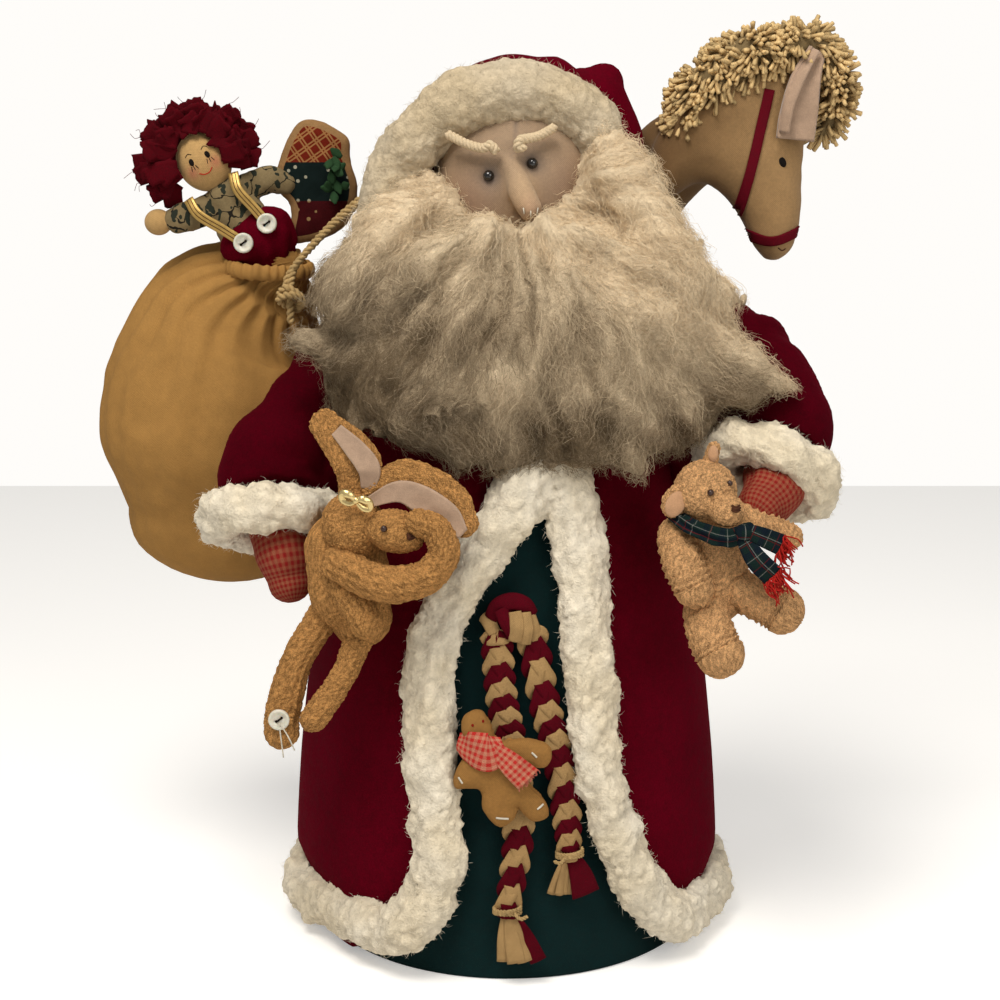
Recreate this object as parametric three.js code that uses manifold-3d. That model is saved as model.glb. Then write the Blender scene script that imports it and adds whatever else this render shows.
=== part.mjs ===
// A cloth Father Christmas figure, about half a metre tall, with a sack of toys and a toy in each hand.
// Millimetres, +Z up, facing -Y. The origin is the middle of the flat underside.
import * as THREE from "three";
import { mergeVertices } from "three/addons/utils/BufferGeometryUtils.js";
import Module from "manifold-3d";

const wasm = await Module();
wasm.setup();

// Driving dimensions
const GAP = 0.5; // clearance cut round each finished piece
const MERGE = 1e-3; // vertices closer than this are one vertex
const SMOOTHING = 0.25; // how far a face may move when needless vertices are left out

const HEM_RADIUS = 119; // the coat at the floor
const SHOULDER_HEIGHT = 310; // where the coat starts to draw in
const SHOULDER_RISE = 75; // from there to the neck
const NECK_HEIGHT = 378;
const COAT_CLOTH = 5; // the coat and its lining

const FLEECE_HALF = 16; // half the width of a trim band
const FLEECE_DEPTH = 9; // half its thickness
const FLAT_BACK = Math.sin(Math.PI / 3); // a six-sided section's flat back, as a share of its depth
const HEM_BAND_HEIGHT = 20; // middle of the band that runs round the hem
const CUFF_HEIGHT = 14; // half the height of a cuff
const CUFF_THICK = 13; // half the thickness of its roll
const WRIST = [20, 2]; // where a sleeve's last two points lie behind its cuff
const HEM_OVERLAP = 3; // degrees that its two halves share at the back
const HEM_TURN = [72, 18]; // degrees from the front where it leaves the front edge, and from point to point
const TRIM_TOP = { degrees: 13, apart: 4, height: 304 }; // where the two front bands start under the beard
const TRIM_TUCK = 0.7; // how far a band's edges draw in against the coat
const TRIM_ROWS = 18;

const BEAD_RADIUS = 3;
const BUTTON_RADIUS = 5.7;
const BUTTON_THICKNESS = 2.4;
const CORD_RADIUS = 3;
const BELT_HALF = 9.5; // half the width of the braided belt
const BELT_DEPTH = 3.8;
const BELT_STANDOFF = 8.5; // from the gown to the middle of the belt

const BEHIND = new THREE.Vector3(0, 1, 0);

// Materials, one for each cloth or finish
const finish = (color, roughness = 0.95, metalness = 0) =>
  new THREE.MeshStandardMaterial({ color, roughness, metalness });

const MATERIALS = {
  green_cloth: finish(0x0b2122),
  burgundy_cloth: finish(0x560a19),
  fleece: finish(0xe4dac4),
  wool: finish(0xa8957a),
  face_cloth: finish(0xa0815f),
  muslin: finish(0xad7f43),
  cord: finish(0xb99a68),
  gingham: finish(0xa04038),
  rabbit_terry: finish(0xb18556),
  bear_terry: finish(0x8e6848),
  felt: finish(0xa98c78),
  yarn: finish(0xc3a36a),
  ribbon: finish(0x6a1018, 0.6),
  doll_cloth: finish(0xc09a62),
  leaf_print: finish(0x8f8460),
  torn_cloth: finish(0x6b0614),
  patchwork: finish(0x8a3a22),
  gingerbread_cloth: finish(0x87602f),
  plaid: finish(0x16292b),
  bead: finish(0x0c0a0a, 0.25),
  shell_button: finish(0xd8cdbb, 0.35),
  gold_ribbon: finish(0xb08a3a, 0.4),
};

// Solids
const vector = (point) => new THREE.Vector3(...point);
const spline = (points, closed = false) =>
  new THREE.CatmullRomCurve3(points.map(vector), closed);

// A closed three.js geometry as a solid that can be joined and cut.
function solid(geometry) {
  const bare = new THREE.BufferGeometry();
  const source = geometry.index ? geometry.toNonIndexed() : geometry;
  bare.setAttribute("position", source.getAttribute("position"));
  const merged = mergeVertices(bare, MERGE);
  const index = merged.index.array;
  const faces = [];
  for (let i = 0; i < index.length; i += 3) {
    const [a, b, c] = index.slice(i, i + 3);
    if (a !== b && b !== c && c !== a) faces.push(a, b, c);
  }
  return new wasm.Manifold(
    new wasm.Mesh({
      numProp: 3,
      vertProperties: merged.getAttribute("position").array,
      triVerts: new Uint32Array(faces),
    }),
  );
}

const join = (...pieces) => pieces.reduce((whole, next) => whole.add(next));

// A rounded body along a smooth route. Widths and depths are half sizes at each point of the route;
// depth is measured towards the back, or away from the axis where out is a function of the place.
// A tuck draws the two long edges in against what the limb lies on.
function limbGeometry(route, widths, options = {}) {
  const { depths = widths, sides = 6, rows = 3, endRows = 2, out = BEHIND, tuck = 0 } = options;
  const { caps = [Math.min(widths[0], depths[0]), Math.min(widths.at(-1), depths.at(-1))] } = options;
  const path = spline(route);
  const section = spline(widths.map((width, i) => [width, depths[i], 0]));
  const last = rows + 2 * endRows;
  const shape = new THREE.SphereGeometry(1, sides, last);
  const position = shape.getAttribute("position");
  for (let i = 0; i < position.count; i++) {
    const row = Math.floor(i / (sides + 1));
    const turn = (2 * Math.PI * (i % (sides + 1))) / sides;
    const t = THREE.MathUtils.clamp((row - endRows) / rows, 0, 1);
    const fromEnd = Math.min(row, last - row, endRows) / endRows;
    const ring = Math.sin((fromEnd * Math.PI) / 2);
    const beyond = Math.cos((fromEnd * Math.PI) / 2) * (t < 0.5 ? -caps[0] : caps[1]);
    const place = path.getPoint(t);
    const along = path.getTangent(t);
    const depthwise = (typeof out === "function" ? out(place) : out).clone();
    depthwise.addScaledVector(along, -depthwise.dot(along)).normalize();
    const across = depthwise.clone().cross(along);
    const size = section.getPoint(t);
    place.addScaledVector(across, -Math.cos(turn) * ring * size.x);
    place.addScaledVector(depthwise, (Math.sin(turn) - tuck * Math.cos(turn) ** 4) * ring * size.y);
    place.addScaledVector(along, beyond);
    position.setXYZ(i, place.x, place.y, place.z);
  }
  return shape;
}

const limb = (...settings) => solid(limbGeometry(...settings));
const flatLimb = ([route, widths, depths], settings) => limb(route, widths, { depths, ...settings });

// A ball with its own three radii, tilted in the plane seen from the front.
function ball(at, radii, { sides = 8, rows = 6, tilt = 0 } = {}) {
  const shape = new THREE.SphereGeometry(1, sides, rows);
  shape.rotateX(Math.PI / 2).scale(...radii);
  return solid(shape.rotateY(THREE.MathUtils.degToRad(tilt)).translate(...at));
}

// A solid of revolution about the vertical, from radius and height pairs, made fuller where asked.
function turned(profile, sides, wider = () => 0) {
  const points = profile.map(([radius, height]) => new THREE.Vector2(radius, height));
  const shape = new THREE.LatheGeometry(points, sides).rotateX(Math.PI / 2);
  const position = shape.getAttribute("position");
  for (let i = 0; i < position.count; i++) {
    position.setX(i, fuller(position.getX(i), position.getY(i), wider(position.getZ(i))));
  }
  return solid(shape);
}

// Moves a place on a round section outwards at its two sides by the given share.
function fuller(x, y, share) {
  return x * (1 + (share * x * x) / (x * x + y * y || 1));
}

// An oval ring of fleece or twine lying across the given axis.
function ring({ at, long, axis, radii, thick, height, sides = 6, steps = 11 }) {
  const shape = new THREE.TorusGeometry(1, 0.5, sides, steps);
  const position = shape.getAttribute("position");
  for (let i = 0; i < position.count; i++) {
    const place = new THREE.Vector3().fromBufferAttribute(position, i);
    const angle = Math.atan2(place.y, place.x);
    const outward = (Math.hypot(place.x, place.y) - 1) * 2 * thick;
    position.setXYZ(
      i,
      Math.cos(angle) * (radii[0] + outward),
      Math.sin(angle) * (radii[1] + outward),
      place.z * 2 * height,
    );
  }
  const z = vector(axis).normalize();
  const x = vector(long).addScaledVector(z, -vector(long).dot(z)).normalize();
  shape.applyMatrix4(new THREE.Matrix4().makeBasis(x, z.clone().cross(x), z));
  return solid(shape.translate(...at));
}

// A flat padded shape in a plane seen from the front, cut to a smooth or straight outline.
function padded(outline, y, thickness, { bevel = thickness / 3, smooth = 0 } = {}) {
  const corners = outline.map(([x, z]) => [x, z, 0]);
  const points = smooth ? spline(corners, true).getPoints(smooth).slice(1) : corners.map(vector);
  const shape = new THREE.Shape(points.map((p) => new THREE.Vector2(p.x, p.y)));
  const options = { depth: thickness - 2 * bevel, bevelThickness: bevel, bevelSize: bevel };
  const geometry = new THREE.ExtrudeGeometry(shape, {
    ...options,
    bevelOffset: -bevel,
    bevelSegments: 1,
  });
  geometry.translate(0, 0, bevel - thickness / 2).rotateX(Math.PI / 2);
  return solid(geometry.translate(0, y, 0));
}

// The solid moved out all round by the given distance, for cutting clearance.
function swollen(piece, by) {
  const { triVerts, vertProperties } = piece.getMesh();
  const vertices = new Float32Array(vertProperties);
  const normals = new Float32Array(vertices.length);
  const corner = [0, 1, 2].map(() => new THREE.Vector3());
  for (let i = 0; i < triVerts.length; i += 3) {
    corner.forEach((point, k) => point.fromArray(vertices, triVerts[i + k] * 3));
    const normal = new THREE.Triangle(...corner).getNormal(new THREE.Vector3());
    corner.forEach((point, k) => {
      const before = corner[(k + 2) % 3].clone().sub(point);
      const angle = corner[(k + 1) % 3].clone().sub(point).angleTo(before);
      const at = triVerts[i + k] * 3;
      for (let axis = 0; axis < 3; axis++) normals[at + axis] += normal.getComponent(axis) * angle;
    });
  }
  for (let i = 0; i < vertices.length; i += 3) {
    const length = Math.hypot(normals[i], normals[i + 1], normals[i + 2]) || 1;
    for (let axis = 0; axis < 3; axis++) vertices[i + axis] += (by * normals[i + axis]) / length;
  }
  return new wasm.Manifold(new wasm.Mesh({ numProp: 3, vertProperties: vertices, triVerts }));
}

// Assembly: each piece gives way to the ones made before it
const santa = new THREE.Group();
const finished = [];

const boxesMeet = (a, b) =>
  [0, 1, 2].every((axis) => a.min[axis] < b.max[axis] && b.min[axis] < a.max[axis]);

function group(x, y, z) {
  const made = new THREE.Group();
  made.position.set(x, y, z);
  santa.add(made);
  return made;
}

function add(parent, name, material, shape) {
  let piece = shape;
  for (const other of finished) {
    if (boxesMeet(piece.boundingBox(), other.boundingBox())) piece = piece.subtract(other);
  }
  const bodies = piece.simplify(SMOOTHING).decompose();
  bodies.sort((a, b) => b.volume() - a.volume());
  piece = bodies[0];
  finished.push(swollen(piece, GAP));
  const { vertProperties, triVerts } = piece.getMesh();
  const geometry = new THREE.BufferGeometry();
  geometry.setAttribute("position", new THREE.BufferAttribute(new Float32Array(vertProperties), 3));
  geometry.setIndex(new THREE.BufferAttribute(new Uint32Array(triVerts), 1));
  geometry.translate(-parent.position.x, -parent.position.y, -parent.position.z);
  geometry.computeVertexNormals();
  const mesh = new THREE.Mesh(geometry, MATERIALS[material]);
  mesh.name = name;
  parent.add(mesh);
}

// Places on the dressed body. Angles are degrees from the front, + towards the figure's left.
function coatRadius(z) {
  if (z < SHOULDER_HEIGHT) return HEM_RADIUS - z * (0.04 + 0.0002 * z);
  const rise = (z - SHOULDER_HEIGHT) / SHOULDER_RISE;
  return coatRadius(SHOULDER_HEIGHT - MERGE) * Math.sqrt(1 - rise * rise);
}

const gownRadius = (z) => coatRadius(z) - COAT_CLOTH - GAP;

// How much wider than deep the body is at each height, as a share.
const FULLNESS = [[0, 0], [20, 0], [45, 0.1], [100, 0.1], [200, 0.085], [310, 0.06], [366, 0]];

function fullness(z) {
  const above = FULLNESS.findIndex(([height]) => z <= height);
  if (above < 1) return 0;
  const [[low, from], [high, to]] = FULLNESS.slice(above - 1, above + 1);
  return from + ((to - from) * (z - low)) / (high - low);
}

function onCoat(degrees, z, out = 0) {
  const angle = THREE.MathUtils.degToRad(degrees);
  const radius = coatRadius(z) + out;
  const [x, y] = [radius * Math.sin(angle), -radius * Math.cos(angle)];
  return [fuller(x, y, fullness(z)), y, z];
}

function onGown(x, z, out) {
  const radius = gownRadius(z) + out;
  return [x, -Math.sqrt(radius * radius - x * x), z];
}

const awayFromAxis = (place) => new THREE.Vector3(place.x, place.y, 0);

// Body
const BODY_SIDES = 18;
const BODY_HEIGHTS = [45, 110, 200, SHOULDER_HEIGHT, 345, 366];

function gown() {
  const side = BODY_HEIGHTS.map((z) => [gownRadius(z), z]);
  const hem = gownRadius(0);
  const profile = [[0, 0], [hem - 2, 0], [hem, 3], ...side, [30, NECK_HEIGHT], [0, NECK_HEIGHT]];
  return turned(profile, BODY_SIDES, fullness);
}

// The opening runs from the neck to the hem: its edges are where the fleece bands lie.
const OPENING_TOP = [22, 340];
const OPENING_FLOOR = [[-85, -10], [98, -10]];
const OPENING_REACH = 100; // far enough to cut right through the front of the coat
const OPENING_RIGHT = [
  [288, 10.8], [268, 3.1], [250, -4.1], [228, -12.6], [200, -19.4], [170, -22.3],
  [105, -20], [78, -18.6], [49, -21.1], [26, -32.2],
];
const OPENING_LEFT = [
  [288, 15.4], [267, 19.7], [235, 21.5], [203, 22], [137, 23.5], [103, 26.1],
  [74, 29.6], [46, 36.2], [24, 48.9],
];

function coat() {
  const outside = BODY_HEIGHTS.map((z) => [coatRadius(z), z]);
  const inside = BODY_HEIGHTS.map((z) => [coatRadius(z) - COAT_CLOTH, z]).reverse();
  const hem = [[HEM_RADIUS - COAT_CLOTH, 4], [HEM_RADIUS, 4], [coatRadius(20), 20]];
  const lining = [[coatRadius(20) - COAT_CLOTH, 20], hem[0]];
  const neck = [[37, NECK_HEIGHT], [31, NECK_HEIGHT]];
  const shell = turned([...hem, ...outside, ...neck, ...inside, ...lining], BODY_SIDES, fullness);
  const edge = (side) => side.map(([z, degrees]) => [onCoat(degrees, z)[0], z]);
  const [right, left] = [edge(OPENING_RIGHT), edge(OPENING_LEFT)];
  const outline = [OPENING_TOP, ...right, ...OPENING_FLOOR, ...left.reverse()];
  const shape = new THREE.Shape(outline.map(([x, z]) => new THREE.Vector2(x, z)));
  const opening = new THREE.ExtrudeGeometry(shape, { depth: OPENING_REACH, bevelEnabled: false });
  return shell.subtract(solid(opening.rotateX(Math.PI / 2).translate(0, -OPENING_REACH / 2, 0)));
}

// The bands stand on the coat by their flat backs. Each half runs down the front and round to the
// middle back.
function coatTrim() {
  const out = FLEECE_DEPTH * FLAT_BACK + 2 * GAP;
  const settings = { rows: TRIM_ROWS, out: awayFromAxis, tuck: TRIM_TUCK, endRows: 1, caps: [2, 2] };
  const halves = [[OPENING_LEFT, 1], [OPENING_RIGHT, -1]].map(([edge, side]) => {
    const route = [onCoat(TRIM_TOP.degrees + TRIM_TOP.apart * side, TRIM_TOP.height, out)];
    edge.forEach(([z, degrees]) => route.push(onCoat(degrees, z, out)));
    for (let degrees = HEM_TURN[0]; degrees <= 180 + HEM_OVERLAP; degrees += HEM_TURN[1]) {
      route.push(onCoat(side * degrees, HEM_BAND_HEIGHT, out));
    }
    const even = spline(route).getSpacedPoints(TRIM_ROWS).map((point) => point.toArray());
    const widths = even.map(() => FLEECE_HALF);
    const depths = even.map(() => FLEECE_DEPTH);
    return limb(even, widths, { ...settings, depths });
  });
  return join(...halves);
}

const SLEEVES = {
  left: { route: [[60, 12, 345], [100, 8, 341], [138, -6, 331]], radii: [34, 38, 40, 37, 31] },
  right: { route: [[-55, 12, 345], [-90, 6, 330], [-116, -14, 303]], radii: [34, 37, 37, 34, 30] },
};
const SLACK = { left: [[82, -6, 310], [116, -36, 290]], right: [[-80, -4, 300], [-108, -30, 276]] };
const SLACK_RADII = [26, 23]; // the cloth that hangs below each arm
const CUFFS = {
  left: { at: [142, -66, 277], long: [0.9, 0.1, -0.42], axis: [-0.3, -0.62, -0.72] },
  right: { at: [-132, -62, 250], long: [1, 0, 0.06], axis: [0.05, -0.45, -0.89] },
};
const MITTENS = {
  left: { route: [[147, -58, 284], [144, -80, 271], [134, -96, 263]], radii: [17, 17, 13] },
  right: { route: [[-130, -54, 254], [-124, -72, 233], [-121, -77, 219]], radii: [17, 17, 13] },
};

function arms(body) {
  for (const side of ["right", "left"]) {
    const { route, radii } = SLEEVES[side];
    const towardsHand = vector(CUFFS[side].axis).normalize();
    const wrist = WRIST.map((behind) =>
      vector(CUFFS[side].at).addScaledVector(towardsHand, -CUFF_HEIGHT - behind).toArray(),
    );
    const upper = limb(route, radii.slice(0, 3), { sides: 9, caps: [radii[0], radii[2]] });
    const lower = limb([route[2], ...wrist], radii.slice(2), { sides: 9, rows: 2, caps: [radii[2], 1] });
    const slack = limb(SLACK[side], SLACK_RADII, { sides: 8, rows: 1 });
    add(body, `sleeve_${side}`, "burgundy_cloth", join(upper, lower, slack));
  }
  for (const side of ["right", "left"]) {
    const { route, radii } = MITTENS[side];
    add(body, `mitten_${side}`, "gingham", limb(route, radii, { sides: 7, rows: 2 }));
  }
  for (const side of ["right", "left"]) {
    const shape = ring({ ...CUFFS[side], radii: [30, 24], thick: CUFF_THICK, height: CUFF_HEIGHT });
    add(body, `cuff_${side}`, "fleece", shape);
  }
}

// Head
const HEAD = { at: [4, -25, 430], radii: [48, 50, 56] };
const NOSE = { route: [[1, -72, 444], [6, -80, 430], [11, -86, 420]], radii: [4.5, 7, 6.5] };
const EYES = { right: [-10.8, -73, 437.5], left: [11.9, -73, 444] };
const EYEBROWS = {
  right: [[-10, -72.5, 450.5], [-21, -69.5, 454], [-33, -63, 459]],
  left: [[4, -74, 452.5], [13, -71.5, 456.5], [24, -66, 462]],
};
const EYEBROW_RADII = [2.6, 3.4, 2];

const HOOD = {
  at: [4, 6, 430],
  radii: [73, 60, 75],
  peak: { route: [[30, 8, 468], [46, 12, 477], [58, 14, 487]], radii: [34, 25, 12] },
  face: { at: [4, -74, 422], radii: [66, 54, 62] },
  nape: [[0, 350], [70, 350], [62, 384], [66, 402], [0, 402]],
};
const HOOD_EDGE = [
  [-72, -44, 388], [-74, -44, 412], [-66, -44, 442], [-47, -48, 466], [-17, -52, 481],
  [19, -52, 483], [46, -48, 471], [62, -44, 446], [69, -44, 420], [66, -46, 392],
];
const HOOD_EDGE_HALF = [15, 15, 16, 18, 19, 19, 18, 16, 15, 15];
const HOOD_EDGE_DEPTH = 17;

function head() {
  const nose = limb(NOSE.route, NOSE.radii, { rows: 2 });
  return join(ball(HEAD.at, HEAD.radii, { sides: 12, rows: 7 }), nose);
}

function hood() {
  const crown = ball(HOOD.at, HOOD.radii, { sides: 10, rows: 8 });
  const peak = limb(HOOD.peak.route, HOOD.peak.radii, { rows: 1 });
  return join(crown, peak, turned(HOOD.nape, 10)).subtract(ball(HOOD.face.at, HOOD.face.radii));
}

function hoodTrim() {
  const depths = HOOD_EDGE.map(() => HOOD_EDGE_DEPTH);
  return limb(HOOD_EDGE, HOOD_EDGE_HALF, { depths, rows: 11 });
}

function face(top) {
  add(top, "head", "face_cloth", head());
  for (const side of ["right", "left"]) {
    const bead = ball(EYES[side], [BEAD_RADIUS, BEAD_RADIUS, BEAD_RADIUS], { sides: 6, rows: 5 });
    add(top, `eye_${side}`, "bead", bead);
    const brow = limb(EYEBROWS[side], EYEBROW_RADII, { sides: 5, endRows: 1 });
    add(top, `eyebrow_${side}`, "cord", brow);
  }
}

// Beard: a broad crescent that hangs in front of the chest, with locks that run out to its ragged edge
const BEARD_MASS = {
  route: [
    [8, -84, 404], [8, -98, 378], [12, -106, 350], [20, -107, 324], [16, -105, 302], [18, -105, 288],
  ],
  widths: [66, 106, 120, 104, 68, 36],
  depths: [16, 20, 22, 19, 13, 9],
};
const BEARD_CURL = 46; // how far its sides lie back against the shoulders
const LOCK_TIPS = [
  [-92, -52, 404], [-113, -60, 373], [-119, -68, 349], [-95, -84, 323], [-66, -94, 300],
  [-12, -110, 282], [69, -106, 284], [101, -96, 304], [152, -72, 327], [131, -54, 370], [108, -42, 404],
];
const LOCK_ROOT = [10, -100, 368];
const LOCK = { places: [0.45, 0.8], sway: 5, widths: [30, 20, 5], depths: [10, 12, 5] };
const WHISKERS = [
  { route: [[-54, -62, 434], [-62, -72, 412], [-74, -80, 378]], radii: [14, 22, 27] },
  { route: [[56, -60, 444], [66, -72, 414], [82, -78, 378]], radii: [16, 25, 27] },
];
const MOUSTACHE = [
  { route: [[7, -96, 408], [-20, -102, 405], [-48, -100, 392], [-66, -94, 374]], radii: [5, 10, 12, 7] },
  { route: [[14, -96, 408], [40, -102, 406], [64, -99, 393], [84, -94, 376]], radii: [5, 10, 12, 7] },
];

function beard() {
  const { route, widths, depths } = BEARD_MASS;
  const mass = limbGeometry(route, widths, { depths, sides: 10, rows: 4, caps: [10, 6] });
  const position = mass.getAttribute("position");
  for (let i = 0; i < position.count; i++) {
    const share = (position.getX(i) - LOCK_ROOT[0]) / widths[2];
    position.setY(i, position.getY(i) + BEARD_CURL * share * share);
  }
  const tufts = [...WHISKERS, ...MOUSTACHE].map((tuft) => limb(tuft.route, tuft.radii, { rows: 2 }));
  const locks = LOCK_TIPS.map((tip, i) => {
    const [start, bend] = LOCK.places.map((share) => vector(LOCK_ROOT).lerp(vector(tip), share));
    bend.z += i % 2 ? LOCK.sway : -LOCK.sway;
    const route = [start.toArray(), bend.toArray(), tip];
    return limb(route, LOCK.widths, { depths: LOCK.depths, sides: 4, rows: 2, endRows: 1 });
  });
  return join(solid(mass), ...tufts, ...locks);
}

// Sack, its drawstring and the toys that stand in its mouth
const SACK = {
  route: [
    [-128, 6, 386], [-140, 18, 378], [-160, 32, 352], [-168, 38, 312], [-171, 40, 270], [-176, 40, 232],
  ],
  widths: [11, 30, 60, 77, 78, 58],
  depths: [11, 26, 48, 60, 60, 42],
};
const SACK_KNOT = { at: [-124, -20, 370], radii: [6, 5, 6] };
const SACK_CORD_ROUTE = [
  [-124, -22, 356], [-124, -20, 369], [-124, -14, 384], [-106, -18, 405], [-88, -20, 421], [-72, -26, 432],
];

function sack() {
  const { route, widths, depths } = SACK;
  return limb(route, widths, { depths, sides: 12, rows: 6, caps: [8, 40] });
}

function sackCord() {
  const knot = ball(SACK_KNOT.at, SACK_KNOT.radii, { sides: 6, rows: 5 });
  const radii = SACK_CORD_ROUTE.map(() => CORD_RADIUS);
  return join(knot, limb(SACK_CORD_ROUTE, radii, { sides: 5, rows: 7, endRows: 1 }));
}

// A sewing button facing the front.
function button(x, y, z) {
  const shape = new THREE.CylinderGeometry(BUTTON_RADIUS, BUTTON_RADIUS, BUTTON_THICKNESS, 12);
  return solid(shape.translate(x, y, z));
}

// Doll in the mouth of the sack
const DOLL = {
  head: { at: [-176, 4, 446.5], radii: [14.5, 12, 16.5], tilt: 20 },
  hair: { at: [-177, 12, 455], radii: [23, 16, 19] },
  hand: { at: [-202, 2, 412], radii: [8, 5.5, 7.5] },
  torso: [[[-162, 5, 428], [-152, 6, 408], [-145, 8, 392]], [13, 17, 17], [9, 11, 11]],
  overalls: [[[-147, 4, 405], [-142, 6, 396], [-139, 8, 388]], [22, 21, 19], [13, 14, 14]],
  rightArm: [[[-164, 5, 423], [-180, 3, 417], [-193, 2, 413]], [8, 8.5, 7.5], [6, 6, 6]],
  leftArm: [[[-150, 6, 432], [-138, 8, 436], [-128, 9, 434]], [8, 8, 6], [6, 6, 5]],
  straps: [
    [[-151.5, -10.5, 400.5], [-167.3, -8.5, 412.3], [-183, -5, 424]],
    [[-138, -9.5, 411.5], [-147, -8.5, 423.8], [-156, -5, 436]],
  ],
};
const STRAP_HALF = 3.5;
const STRAP_DEPTH = 1;
const TORN_STRIPS = {
  root: [-177, 8, 453],
  start: 0.45,
  widths: [10, 8],
  depths: [5, 3],
  tips: [
    [-209, 3, 452], [-201, 4, 473], [-180, 6, 482], [-160, 5, 475], [-151, 4, 460], [-197, 2, 430],
  ],
};

function dollHair() {
  const { root, start, widths, depths, tips } = TORN_STRIPS;
  const cap = ball(DOLL.hair.at, DOLL.hair.radii, { sides: 7, rows: 5 });
  const strips = tips.map((tip) => {
    const from = vector(root).lerp(vector(tip), start).toArray();
    return flatLimb([[from, tip], widths, depths], { sides: 4, rows: 1, endRows: 1, caps: [2, 2] });
  });
  return join(cap, ...strips);
}

function sackDoll(top) {
  add(top, "doll_head", "doll_cloth", ball(DOLL.head.at, DOLL.head.radii, { tilt: DOLL.head.tilt }));
  add(top, "doll_hair", "torn_cloth", dollHair());
  const overalls = flatLimb(DOLL.overalls, { rows: 2, endRows: 1, caps: [1, 1] });
  add(top, "doll_overalls", "burgundy_cloth", overalls);
  const shirt = [DOLL.torso, DOLL.rightArm, DOLL.leftArm].map((form) => flatLimb(form, { rows: 1 }));
  add(top, "doll_shirt", "leaf_print", join(...shirt));
  add(top, "doll_hand", "doll_cloth", ball(DOLL.hand.at, DOLL.hand.radii, { sides: 6, rows: 5 }));
  DOLL.straps.forEach((route, i) => {
    add(top, `doll_button_${i + 1}`, "shell_button", button(...route[0]));
    const [widths, depths] = [STRAP_HALF, STRAP_DEPTH].map((half) => route.map(() => half));
    const strap = flatLimb([route, widths, depths], { sides: 4, rows: 3, endRows: 1 });
    add(top, `doll_strap_${i + 1}`, "gold_ribbon", strap);
  });
}

const ORNAMENT_OUTLINE = [
  [-119, 470], [-95, 462], [-92, 448], [-88, 430], [-97, 408], [-127, 400], [-126, 420], [-134, 431],
  [-133, 446],
];
const ORNAMENT_PLANE = 12;
const ORNAMENT_THICKNESS = 10;

// Horse head on its neck, which is tucked in behind the shoulder
const HORSE_PLANE = 8; // the middle of the flat toy head, front to back
const HORSE_OUTLINE = [
  [166, 502], [171, 478], [169, 452], [169, 424], [166, 400], [153, 389.5], [142, 399], [133, 417],
  [121, 430], [108, 434], [88, 424], [80, 444], [92, 474], [116, 492], [144, 504],
];
const HORSE_THICKNESS = 30;
const HORSE_BEVEL = 7;
const HORSE_NECK = [
  [[112, 10, 460], [94, 26, 446], [76, 46, 420], [62, 62, 384], [56, 70, 345]],
  [24, 25, 24, 21, 19],
  [14, 16, 18, 18, 17],
];
const NEAR_EAR = [[[163, -9, 463], [165, -12, 484], [174, -9, 508]], [9.5, 12.5, 4], [2.2, 2.2, 2]];
const FAR_EAR = [[[170, 24, 466], [174, 27, 486], [180, 24, 506]], [8, 10, 4], [2.2, 2.2, 2]];
// The bridle's cheek strap and nose band run round both sides of the flat head.
const BRIDLE = [
  [[158, 509], [150.5, 509], [134, 404], [141.5, 404]],
  [[136, 407], [169.5, 409.5], [169.5, 403.5], [137, 401]],
];
const BRIDLE_THICKNESS = 33.5;
const MANE = [
  [
    [99, 9, 467], [107, 9, 481], [121, 8, 494], [137, 8, 503], [154, 7, 508], [173, 7, 509],
    [186, 6, 494], [186, 5, 476], [179, 5, 462],
  ],
  [12, 17, 20, 21, 18, 17, 14, 12.5, 9],
  [18, 21, 23, 24, 23, 21, 18, 15, 11],
];

function horse() {
  const toy = group(140, HORSE_PLANE, 450);
  const outline = { bevel: HORSE_BEVEL, smooth: 20 };
  const skull = padded(HORSE_OUTLINE, HORSE_PLANE, HORSE_THICKNESS, outline);
  const neck = flatLimb(HORSE_NECK, { sides: 7, rows: 4 });
  add(toy, "horse_head", "gingerbread_cloth", join(skull, neck));
  for (const [side, ear] of [["near", NEAR_EAR], ["far", FAR_EAR]]) {
    add(toy, `horse_ear_${side}`, "felt", flatLimb(ear, { endRows: 1, caps: [1, 2] }));
  }
  const straps = BRIDLE.map((strap) => padded(strap, HORSE_PLANE, BRIDLE_THICKNESS, { bevel: 1.5 }));
  add(toy, "horse_bridle", "ribbon", join(...straps));
  add(toy, "horse_mane", "yarn", flatLimb(MANE, { rows: 8 }));
}

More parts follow.
